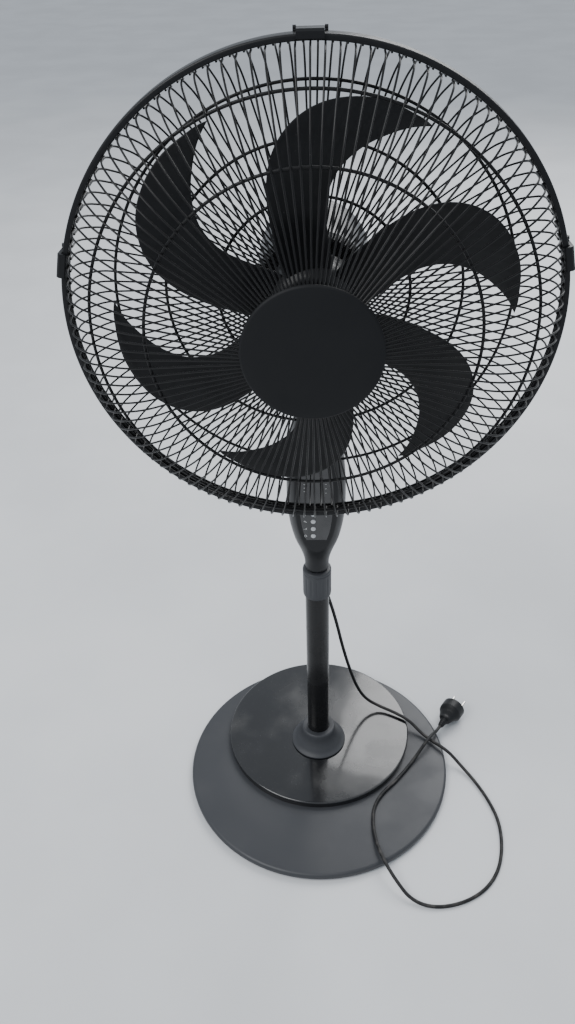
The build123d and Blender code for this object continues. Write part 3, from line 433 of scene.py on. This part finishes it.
def through(points, t):
    """A smooth line through a row of points, t from 0 to 1."""
    spans = len(points) - 1
    k = min(int(t * spans), spans - 1)
    u = t * spans - k
    p0, p1, p2, p3 = (Vector(points[min(max(k + step, 0), spans)]) for step in (-1, 0, 1, 2))
    return (p1 * 2 + (p2 - p0) * u + (p0 * 2 - p1 * 5 + p2 * 4 - p3) * u * u
            + (p1 * 3 - p0 - p2 * 3 + p3) * u * u * u) / 2


def housing_half(first_turn):
    """Closed shell of one half of the housing: a half ring of points at each level."""
    levels = 72
    around = 64
    verts = []
    for i in range(levels + 1):
        z, half_w, half_d = through(HOUSING_LEVELS, i / levels)
        shrink = 0.6 if i in (0, levels) else 0.0
        for k in range(around + 1):
            turn = first_turn + pi * k / around
            seam = 0.45 if k in (0, around) else 0.0
            x = (half_w - seam - shrink) * cos(turn)
            y = POLE_Y + (half_d - shrink) * sin(turn)
            verts.append(Vector((x, max(y, PANEL_Y), z)) * MM)
    row = around + 1
    faces = [(i * row + k, i * row + k + 1, (i + 1) * row + k + 1, (i + 1) * row + k)
             for i in range(levels) for k in range(around)]
    faces += [(i * row, (i + 1) * row, (i + 1) * row + around, i * row + around) for i in range(levels)]
    faces.append(tuple(range(row)))
    faces.append(tuple(range(levels * row, levels * row + row)))
    return verts, faces


place(piece("housing_front_shell", *housing_half(pi), housing_plastic, 50),
      "column", "satin_black", "housing_front")
place(piece("housing_rear_shell", *housing_half(0), housing_plastic, 50),
      "column", "satin_black", "housing_rear")

# ---- cord gland ---------------------------------------------------------------------------
# A ribbed vinyl sleeve that keeps the cord from kinking where it leaves the housing.
gland_profile = [(0, 0), (3.1, 0)]
for rib in range(7):
    foot = 3.6 * rib
    crest = 4.0 + 0.24 * rib
    gland_profile += soften([(3.2 + 0.28 * rib, 0.6 + foot, 0), (crest, 1.2 + foot, 0.4),
                             (crest, 2.8 + foot, 0.4), (3.3 + 0.28 * rib, 3.3 + foot, 0)],
                            closed=False, steps=3)
gland_profile += [(5.2, 27.8), (3.5, 27.8), (3.5, 46), (0, 46)]
place(piece("gland_sleeve", *lathe(gland_profile, cord_exit / MM, steps=48), cord_stuff),
      "column", "pad_rubber", "cord_gland")

# ---- control panel ------------------------------------------------------------------------
# A glossy black plate let into the flat front, with five pale push buttons, four indicator
# windows and small printed marks beside the buttons.
PANEL_LEVELS = ((451, 13.0), (470, 18.0), (505, 21.5), (545, 21.0), (580, 16.5))
panel_gloss, spot, shader = new_material("panel_gloss", Specular_IOR_Level=0.55, Coat_Roughness=0.04)
smear = spot.noise(0.018, 5).band(0.4, 0.7)
spot.feed(shader, Base_Color=smear.blend((0.010, 0.010, 0.011, 1), (0.016, 0.016, 0.018, 1)),
          Roughness=smear * 0.12 + 0.12, Coat_Weight=smear * -0.3 + 0.8)


def panel_plate():
    """A plate with a rounded front edge: rings of points from its edge to its middle."""
    levels = 48
    outline = [through(PANEL_LEVELS, i / levels) for i in range(levels + 1)]
    right = [(w, z) for z, w in outline]
    loop = right + [(-w, z) for w, z in reversed(right)]
    middle = Vector((0, 515))
    verts = []
    for inset, y in ((0, PANEL_Y + 2.4), (0, PANEL_Y - 0.05), (0.25, PANEL_Y - 0.28), (0.8, PANEL_Y - 0.4)):
        for x, z in loop:
            away = Vector((x, z)) - middle
            x_in, z_in = middle + away * (1 - inset / away.length)
            verts.append(Vector((x_in, y, z_in)) * MM)
    count = len(loop)
    faces = [(ring * count + k, ring * count + (k + 1) % count, (ring + 1) * count + (k + 1) % count,
              (ring + 1) * count + k) for ring in range(3) for k in range(count)]
    for ring in (0, 3):
        faces += [(ring * count + i, ring * count + i + 1, ring * count + count - 2 - i,
                   ring * count + count - 1 - i) for i in range(levels)]
    return verts, faces


place(piece("panel_face", *panel_plate(), panel_gloss), "column", "gloss_black", "control_panel")

button_stuff, spot, shader = new_material("button_grey", Specular_IOR_Level=0.4)
worn = spot.noise(0.0012, 3).band(0.35, 0.75)
spot.feed(shader, Base_Color=worn.blend((0.52, 0.53, 0.54, 1), (0.66, 0.67, 0.68, 1)),
          Roughness=worn * 0.15 + 0.35,
          Normal=spot.node("Bump", {"Strength": 0.2, "Distance": 0.0001, "Height": spot.noise(0.0004, 2)}))
BUTTON_X = -4.0
BUTTON_R = 3.2
FLANGE_R = 4.1
button_profile = soften([
    (0, -1.35, 0), (2.3, -1.5, 1.2), (BUTTON_R, -1.0, 1.0), (BUTTON_R, 1.6, 0), (FLANGE_R, 1.6, 0),
    (FLANGE_R, 2.6, 0), (0, 2.6, 0)], steps=4)
for name in ("power_button", "speed_button", "mode_button", "timer_button", "swing_button"):
    low_corner, high_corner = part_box(name)
    height = (low_corner[2] + high_corner[2]) / 2 / MM
    turned_cap = lathe(button_profile, (BUTTON_X, PANEL_Y, height), axis=(0, 1, 0), steps=40)
    place(piece(name + "_face", *turned_cap, button_stuff), name + "_cap", "grey_button", name)

print_white, spot, shader = new_material("printed_white", Roughness=0.6)
faded = spot.noise(0.002, 3).band(0.3, 0.8)
spot.feed(shader, Base_Color=faded.blend((0.62, 0.62, 0.60, 1), (0.78, 0.78, 0.76, 1)))


PANEL_PROUD = 0.4
INK_FLAT = 0.3


def printed(lines, radius):
    """Thin raised prints: each line is a row of (x, z) points in mm on the panel's face."""
    verts = []
    faces = []
    ink = (PANEL_Y - PANEL_PROUD) * MM
    for line in lines:
        made, sides = rod([Vector((x, PANEL_Y - 0.38, z)) * MM for x, z in line], radius * MM, 6)
        faces += [tuple(index + len(verts) for index in face) for face in sides]
        verts += [Vector((v.x, ink + (v.y - ink) * INK_FLAT, v.z)) for v in made]
    return verts, faces


def arc_line(x, z, radius, start, end, steps=12):
    turns = [radians(start + (end - start) * i / steps) for i in range(steps + 1)]
    return [(x + radius * cos(t), z + radius * sin(t)) for t in turns]


MARK_X = -14.0
PRINT_R = 0.28
marks = [arc_line(MARK_X, 458, 1.5, 120, 420), [(MARK_X, 458.4), (MARK_X, 460.2)]]
marks += [[(MARK_X - 1.8 + 1.6 * i, 468.2), (MARK_X - 1.8 + 1.6 * i, 469.4 + 0.9 * i)] for i in range(3)]
marks += [arc_line(MARK_X - 1, 481.2, 1.0, 0, 180, 6) + arc_line(MARK_X + 1, 481.2, 1.0, 180, 360, 6)]
marks += [arc_line(MARK_X, 492.8, 1.6, 0, 360), [(MARK_X, 494.0), (MARK_X, 492.8), (MARK_X + 0.9, 492.8)]]
marks += [arc_line(MARK_X, 503.0, 2.0, 40, 140), [(MARK_X, 503.0), (MARK_X, 505.6)]]
for row in range(4):
    marks.append([(MARK_X - 1.6, 528.5 + 5.2 * row), (MARK_X + 1.2 - 0.5 * (row % 2), 528.5 + 5.2 * row)])
    marks.append([(11.2, 526 + 6.5 * row), (13.4, 526 + 6.5 * row)])
place(piece("panel_marks", *printed(marks, PRINT_R), print_white), "column", "white_lens")

# ---- six-blade rotor ----------------------------------------------------------------------
# One glossy black moulding: a domed hub and six sickle blades that sweep back from the root
# and curl round to a narrow tip. Each is pitched, cambered and thin at its edges.
HEAD_Y, HEAD_Z = -69.0, 803.0
TRAILING_EDGE = ((46, 66), (80, 58.5), (110, 54), (138, 49.5), (163, 44), (184, 36.5), (198, 27.5), (205, 16),
                 (204, 5))
LEADING_EDGE = ((46, 8), (75, 20), (105, 25), (135, 22.8), (160, 16.5), (178, 10), (192, 4.5), (202, -0.5))
FIRST_TIP = -2.0
PITCH = radians(7.0)
CAMBER = 3.0
BLADE_FORWARD = 6.0
HALF_CHORD = 112.0
MID_TURN = 28.0
BLADE_HALF_T = 1.2
TIP_BOW = 6.0
HUB_R = 50.0


def blade_gloss():
    """Glossy black moulding with faint flow lines and fine dust specks."""
    material, spot, shader = new_material("blade_gloss", Specular_IOR_Level=0.25, Coat_Roughness=0.1)
    flow = spot.noise(0.03, 5).band(0.35, 0.7)
    specks = spot.noise(0.0014, 2).band(0.68, 0.78)
    bump = spot.node("Bump", {"Strength": 0.08, "Distance": 0.0004, "Height": spot.noise(0.012, 3)})
    spot.feed(shader, Base_Color=(specks * 0.4).blend((0.006, 0.0062, 0.0068, 1), (0.07, 0.07, 0.067, 1)),
              Roughness=flow * 0.12 + specks * 0.2 + 0.30, Normal=bump, Coat_Weight=flow * -0.1 + 0.14)
    return material


def head_point(x, forward, z):
    """A point of the head from mm across, forward of the rim's plane and above the axis."""
    return Vector((x, HEAD_Y - forward, HEAD_Z + z)) * MM


def blade_rise(x, z):
    """Forward place of the blade's front face over a point of its outline."""
    mid = radians(FIRST_TIP + MID_TURN)
    across = -x * sin(mid) + z * cos(mid)
    rise = 0.0
    for _ in range(4):
        chord = across * cos(PITCH) + rise * sin(PITCH)
        rise = (across * sin(PITCH) - CAMBER * (chord / HALF_CHORD) ** 2) / cos(PITCH)
    return BLADE_FORWARD + rise


def blade(turn):
    """Vertices and faces of one blade: front and back skins over a grid of its outline."""
    spans = 40
    chords = 16
    front = []
    back = []
    for i in range(spans + 1):
        t = i / spans
        ends = []
        for edge in (TRAILING_EDGE, LEADING_EDGE):
            r, angle = through(edge, t)
            ends.append(Vector((r * cos(radians(angle + FIRST_TIP)), r * sin(radians(angle + FIRST_TIP)))))
        for k in range(chords + 1):
            u = 0.5 - 0.5 * cos(pi * k / chords)
            swell = 4 * u * (1 - u)
            bow = TIP_BOW * max(t - 0.75, 0) * swell
            at = ends[0].lerp(ends[1], u)
            at = at * (1 + bow * 0.5 / at.length)
            half = 1.15 * swell ** 0.35 + 0.12
            middle = blade_rise(*at) - BLADE_HALF_T
            c, s = cos(turn), sin(turn)
            x, z = at.x * c - at.y * s, at.x * s + at.y * c
            front.append(head_point(x, middle + half, z))
            back.append(head_point(x, middle - half, z))
    row = chords + 1
    count = len(front)
    faces = []
    for i in range(spans):
        for k in range(chords):
            quad = (i * row + k, i * row + k + 1, (i + 1) * row + k + 1, (i + 1) * row + k)
            faces.append(quad)
            faces.append(tuple(count + index for index in reversed(quad)))
    border = list(range(row))
    border += [i * row + chords for i in range(1, spans + 1)]
    border += [spans * row + k for k in range(chords - 1, -1, -1)]
    border += [i * row for i in range(spans - 1, 0, -1)]
    for a, b in zip(border, border[1:] + border[:1]):
        faces.append((a, b, b + count, a + count))
    return front + back, faces


blade_stuff = blade_gloss()
HEAD_AXIS = (0, -1, 0)
HEAD_AT = (0, HEAD_Y, HEAD_Z)
rotor_verts, rotor_faces = lathe(soften([
    (HUB_R, -31, 0.5), (HUB_R, 3, 9), (HUB_R - 11, 15, 6), (20, 15.4, 0), (5, 15.4, 0), (5, 10, 0),
    (36, 11, 4), (HUB_R - 3, 1, 5), (HUB_R - 3, -31, 0.5)]), HEAD_AT, HEAD_AXIS, steps=160)
BLADES = 6
for i in range(BLADES):
    more_verts, more_faces = blade(tau * i / BLADES)
    rotor_faces += [tuple(index + len(rotor_verts) for index in face) for face in more_faces]
    rotor_verts += more_verts
place(piece("sickle_rotor", rotor_verts, rotor_faces, blade_stuff, 45), "rotor", "gloss_black", "fan_blades")


def spinner_grip(r, h, turn):
    return r - 0.9 * (0.5 + 0.5 * cos(12 * turn)) ** 4 if r > 15 else r


spinner_profile = soften([
    (4.2, 15.6, 0), (19, 15.6, 0.5), (19, 21.5, 1), (16, 26.6, 4), (0, 28, 0), (0, 24.6, 0), (4.2, 24.6, 0)])
spinner = lathe(spinner_profile, HEAD_AT, HEAD_AXIS, steps=144, shape=spinner_grip)
place(piece("spinner_nut", *spinner, blade_stuff), "rotor", "gloss_black", "blade_nut")

# ---- wire grilles -------------------------------------------------------------------------
# Each grille is 120 bent steel wires spot-welded to round hoops and dipped in black enamel.
# The rear one is a shallow dish, the front one a cone that swells toward the middle.
RIM_R = 250.0
END_R = RIM_R - 7.6
SPOKES = 120
SPOKE_R = 1.0
HOOP_R = 1.6
WELD_DEPTH = 0.15
EDGE_WIRE_R = 1.8
FRONT_WIRE = ((58, 96.7, 0), (185, 66, 19), (224, 42, 5.5), (END_R, 22, 11), (END_R, 0.4, 0))
REAR_WIRE = ((46, -47.4, 0), (165, -47.4, 9.6), (221, -42, 10.3), (END_R, -20, 11), (END_R, -0.4, 0))
wire_enamel = baked_black("wire_enamel", 0.34, 0.003, 0.2, 0.05)


def wires(line, first):
    """All the radial wires of one grille."""
    path = soften(line, closed=False, steps=6)
    verts = []
    faces = []
    for i in range(SPOKES):
        turn = tau * i / SPOKES + first
        one, sides = rod([head_point(r * cos(turn), f, r * sin(turn)) for r, f in path], SPOKE_R * MM, 8)
        faces += [tuple(index + len(verts) for index in face) for face in sides]
        verts += one
    return verts, faces


def hoops(rings):
    """Round hoops as (radius, forward, wire radius)."""
    verts = []
    faces = []
    for r, f, wire in rings:
        ring = [(r + wire * cos(tau * k / 10), f + wire * sin(tau * k / 10)) for k in range(10)]
        one, sides = lathe(ring, HEAD_AT, HEAD_AXIS, steps=240)
        faces += [tuple(index + len(verts) for index in face) for face in sides]
        verts += one
    return verts, faces


def inside(line, run, radius, side):
    """Centre of a hoop that touches the wires on one side of a straight run."""
    (r0, f0, _), (r1, f1, _) = line[run], line[run + 1]
    length = hypot(r1 - r0, f1 - f0)
    reach = side * (SPOKE_R + HOOP_R - WELD_DEPTH)
    forward = f0 + (radius - r0) / (r1 - r0) * (f1 - f0)
    return (radius - reach * (f1 - f0) / length, forward + reach * (r1 - r0) / length, HOOP_R)


place(piece("front_wires", *wires(FRONT_WIRE, 0), wire_enamel), "head", "black_paint", "front_grille_wires")
place(piece("rear_wires", *wires(REAR_WIRE, pi / SPOKES), wire_enamel),
      "head", "black_paint", "rear_grille_wires")
edge_hoop = END_R + SPOKE_R + EDGE_WIRE_R
front_rings = [inside(FRONT_WIRE, run, radius, -1) for run, radius in ((0, 63.0), (0, 159.5), (1, 216.0))]
rear_rings = [inside(REAR_WIRE, run, radius, 1) for run, radius in ((0, 100.0), (0, 154.0), (1, 206.0))]
place(piece("front_hoops", *hoops(front_rings + [(edge_hoop, 2.2, EDGE_WIRE_R)]), wire_enamel),
      "head", "black_paint", "front_grille_rings")
place(piece("rear_hoops", *hoops(rear_rings + [(edge_hoop, -2.2, EDGE_WIRE_R)]), wire_enamel),
      "head", "black_paint", "rear_grille_rings")

# ---- badge disc ---------------------------------------------------------------------------
# A blank matt black disc clipped over the middle of the front grille, slightly domed, with a
# bevelled edge; a plate behind the wires holds it.
badge_matt = dusty_plastic("badge_matt", 0.55, 0.0006, 0.0002, 0.15, shine=0.2)
badge_profile = soften([(0, 98, 0), (58, 98, 0), (67.5, 95.6, 0.4), (67.5, 97.4, 0.6), (65.8, 99.0, 0.8),
                        (57, 100.2, 6), (30, 101.3, 15), (0, 101.6, 0)])
place(piece("badge_disc", *lathe(badge_profile, HEAD_AT, HEAD_AXIS, steps=200), badge_matt),
      "head", "matt_badge", "badge")

# ---- rim band and clips -------------------------------------------------------------------
# A moulded hoop of C section snaps over the two grilles' edge hoops. Three hinged clips hold
# it: one at the top and one at each side.
RIM_HALF = 9.0
rim_plastic = dusty_plastic("rim_plastic", 0.36, 0.0009, 0.0002, 0.25, shine=0.25)
rim_profile = soften([
    (RIM_R - 0.3, RIM_HALF - 1, 0.8), (RIM_R - 1.6, RIM_HALF, 0.8), (RIM_R - 5.8, RIM_HALF, 0.6),
    (RIM_R - 5.8, RIM_HALF - 2.3, 0.5), (RIM_R - 2.8, RIM_HALF - 2.3, 0.5),
    (RIM_R - 2.8, 2.3 - RIM_HALF, 0.5), (RIM_R - 5.8, 2.3 - RIM_HALF, 0.5),
    (RIM_R - 5.8, -RIM_HALF, 0.6), (RIM_R - 1.6, -RIM_HALF, 0.8),
    (RIM_R - 0.3, 1 - RIM_HALF, 0.8), (RIM_R, 0, 4)], steps=3)
CLIP_TURNS = (90.0, 167.5, 12.5)
CLIP_HALF = 12.0
PIVOT_R = RIM_R + 1.6
KNUCKLE_W = 3.0
KNUCKLES = ((0.0, 2.2), (-2.0, 2.0))
hoop_verts, hoop_faces = lathe(rim_profile, HEAD_AT, HEAD_AXIS, steps=360)
for angle in CLIP_TURNS:
    out_x, out_z = cos(radians(angle)), sin(radians(angle))
    for start in (-CLIP_HALF - 3.2, CLIP_HALF + 0.2):
        for sink, knuckle_r in KNUCKLES:
            far = PIVOT_R + sink
            ends = [head_point(far * out_x - out_z * along, -RIM_HALF - sink * 0.3,
                               far * out_z + out_x * along) for along in (start, start + KNUCKLE_W)]
            one, sides = rod(ends, knuckle_r * MM, 20)
            hoop_faces += [tuple(index + len(hoop_verts) for index in face) for face in sides]
            hoop_verts += one
place(piece("rim_hoop", hoop_verts, hoop_faces, rim_plastic), "head", "satin_black", "rim_band")

# ---- plug ---------------------------------------------------------------------------------
# A moulded round plug lying on its side: ribbed boot, waisted grip, round face and two
# nickel-plated pins.
plug_vinyl = dusty_plastic("plug_vinyl", 0.42, 0.0007, 0.0002, 0.4, shine=0.3)
PLUG_R = 18.5
plug_side = plug_aim.cross(Vector((0, 0, 1)))
plug_profile = [(0, -16), (3.3, -16)]
for rib in range(4):
    wider = 0.6 * rib
    foot = 3.4 * rib
    plug_profile += soften([(3.4 + wider, -15 + foot, 0), (4.4 + wider, -14.5 + foot, 0.4),
                            (4.6 + wider, -12.8 + foot, 0.4), (3.7 + wider, -12.2 + foot, 0)],
                           closed=False, steps=3)
plug_profile += soften([
    (8, -1, 0), (10.5, 1, 2), (14, 10, 5), (18.2, 16, 3), (PLUG_R, 20, 1), (PLUG_R, 33.2, 1),
    (17.6, 34, 0.4), (0, 34, 0)], closed=False)


def gripped(r, h, turn):
    """The grip is pressed flatter on two sides between the boot and the round face."""
    near = min(max((h + 1) / 4, 0), 1) * min(max((19 - h) / 6, 0), 1)
    return r * (1 - 0.28 * near * abs(sin(turn)) ** 1.5)


moulding = lathe(plug_profile, plug_back / MM, plug_aim, plug_side, 96, gripped)
place(piece("plug_moulding", *moulding, plug_vinyl), "base", "plug_vinyl", "plug_body")

pin_nickel, spot, shader = new_material("pin_nickel", Metallic=1.0)
rubbed = spot.noise(0.0015, 3).band(0.35, 0.75)
spot.feed(shader, Base_Color=rubbed.blend((0.72, 0.70, 0.66, 1), (0.85, 0.84, 0.81, 1)),
          Roughness=rubbed * 0.15 + 0.18)
pins_verts = []
pins_faces = []
PIN_R = 2.4
PIN_APART = 19.0
pin_profile = soften([(0, 24, 0), (PIN_R, 24, 0), (PIN_R, 53, 1.6), (0, 53, 0)])
for side in (-PIN_APART / 2, PIN_APART / 2):
    one, sides = lathe(pin_profile, plug_back / MM + plug_side * side, plug_aim, plug_side, 32)
    pins_faces += [tuple(index + len(pins_verts) for index in face) for face in sides]
    pins_verts += one
place(piece("pin_pair", pins_verts, pins_faces, pin_nickel), "base", "nickel_pin", "plug_pins")

# ---- parts kept as they are ---------------------------------------------------------------
# Castings, windings, fasteners and the other pieces inside keep their own shapes.
cast_metal, spot, shader = new_material("cast_metal", Metallic=0.9)
sand = spot.noise(0.0015, 4)
spot.feed(shader, Base_Color=sand.blend((0.33, 0.33, 0.34, 1), (0.48, 0.48, 0.49, 1)),
          Roughness=sand * 0.3 + 0.38,
          Normal=spot.node("Bump", {"Strength": 0.4, "Distance": 0.0005, "Height": sand}))
zinc, spot, shader = new_material("zinc_steel", Metallic=1.0)
bloom = spot.noise(0.004, 4).band(0.3, 0.7)
spot.feed(shader, Base_Color=bloom.blend((0.50, 0.51, 0.53, 1), (0.64, 0.65, 0.66, 1)),
          Roughness=bloom * 0.2 + 0.25)
bright, spot, shader = new_material("bright_tube", Metallic=1.0)
haze = spot.noise(0.02, 4).band(0.4, 0.8)
spot.feed(shader, Base_Color=haze.blend((0.72, 0.72, 0.74, 1), (0.60, 0.60, 0.61, 1)),
          Roughness=haze * 0.12 + 0.07)
copper, spot, shader = new_material("copper_turns", Metallic=0.9)
turns = spot.node("TexWave", {"Vector": spot, "Scale": 700.0, "Distortion": 1.5}, bands_direction="Y")
spot.feed(shader, Base_Color=turns.blend((0.35, 0.14, 0.06, 1), (0.60, 0.28, 0.14, 1)),
          Roughness=turns * 0.2 + 0.3,
          Normal=spot.node("Bump", {"Strength": 0.6, "Distance": 0.0005, "Height": turns}))
bronze, spot, shader = new_material("bronze_bush", Metallic=1.0)
pores = spot.noise(0.0006, 3)
spot.feed(shader, Base_Color=pores.blend((0.45, 0.30, 0.14, 1), (0.58, 0.42, 0.22, 1)),
          Roughness=pores * 0.3 + 0.3)
rubber, spot, shader = new_material("pad_rubber", Specular_IOR_Level=0.3)
scuffed = spot.noise(0.004, 4).band(0.4, 0.7)
spot.feed(shader, Base_Color=scuffed.blend((0.03, 0.03, 0.03, 1), (0.07, 0.068, 0.065, 1)),
          Roughness=scuffed * 0.2 + 0.7)
laminate, spot, shader = new_material("board_laminate", Roughness=0.4)
tracks = spot.node("TexBrick", {"Vector": spot, "Scale": 260.0, "Mortar Size": 0.03}, out="Fac")
spot.feed(shader, Base_Color=tracks.blend((0.02, 0.16, 0.06, 1), (0.05, 0.26, 0.10, 1)))
lens, spot, shader = new_material("lens_white", Roughness=0.25)
milky = spot.noise(0.001, 2).band(0.3, 0.7)
spot.feed(shader, Base_Color=milky.blend((0.62, 0.63, 0.62, 1), (0.75, 0.76, 0.74, 1)))
nylon, spot, shader = new_material("nylon_natural", Specular_IOR_Level=0.4)
chalk = spot.noise(0.003, 3).band(0.3, 0.7)
spot.feed(shader, Base_Color=chalk.blend((0.62, 0.60, 0.54, 1), (0.72, 0.70, 0.64, 1)),
          Roughness=chalk * 0.15 + 0.4)
cover_plastic = dusty_plastic("cover_plastic", 0.34, 0.0009, 0.0002, 0.6, coat=0.15)
weight_iron, spot, shader = new_material("weight_iron", Metallic=0.4)
skin = spot.noise(0.003, 5)
spot.feed(shader, Base_Color=skin.blend((0.08, 0.08, 0.08, 1), (0.16, 0.15, 0.14, 1)),
          Roughness=skin * 0.3 + 0.55,
          Normal=spot.node("Bump", {"Strength": 0.6, "Distance": 0.001, "Height": skin}))
enamel = baked_black("bracket_enamel", 0.32, 0.004)

KEPT = {
    "base_weight": weight_iron, "pole_socket": zinc, "base_bolts": zinc, "base_feet": rubber,
    "pole_collet": trim_plastic, "inner_pole": bright, "housing_screws": zinc, "indicator_lenses": lens,
    "circuit_board": laminate, "tilt_upright": enamel, "neck_bracket": enamel, "tilt_bolt": enamel,
    "tilt_nut": zinc, "motor_bracket": cast_metal, "stator_core": zinc, "stator_windings": copper,
    "motor_front_bell": cast_metal, "motor_bushes": bronze, "rotor_core": zinc, "motor_shaft": zinc,
    "motor_cover": cover_plastic,
    "swing_motor": enamel, "crank_disc": nylon, "swing_link": enamel, "rear_grille_plate": wire_enamel,
    "grille_nut": trim_plastic, "badge_plate": badge_matt, "rim_clip_top": rim_plastic,
    "rim_clip_left": rim_plastic, "rim_clip_right": rim_plastic,
}
for node, material in KEPT.items():
    for material_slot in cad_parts[node].material_slots:
        material_slot.material = material
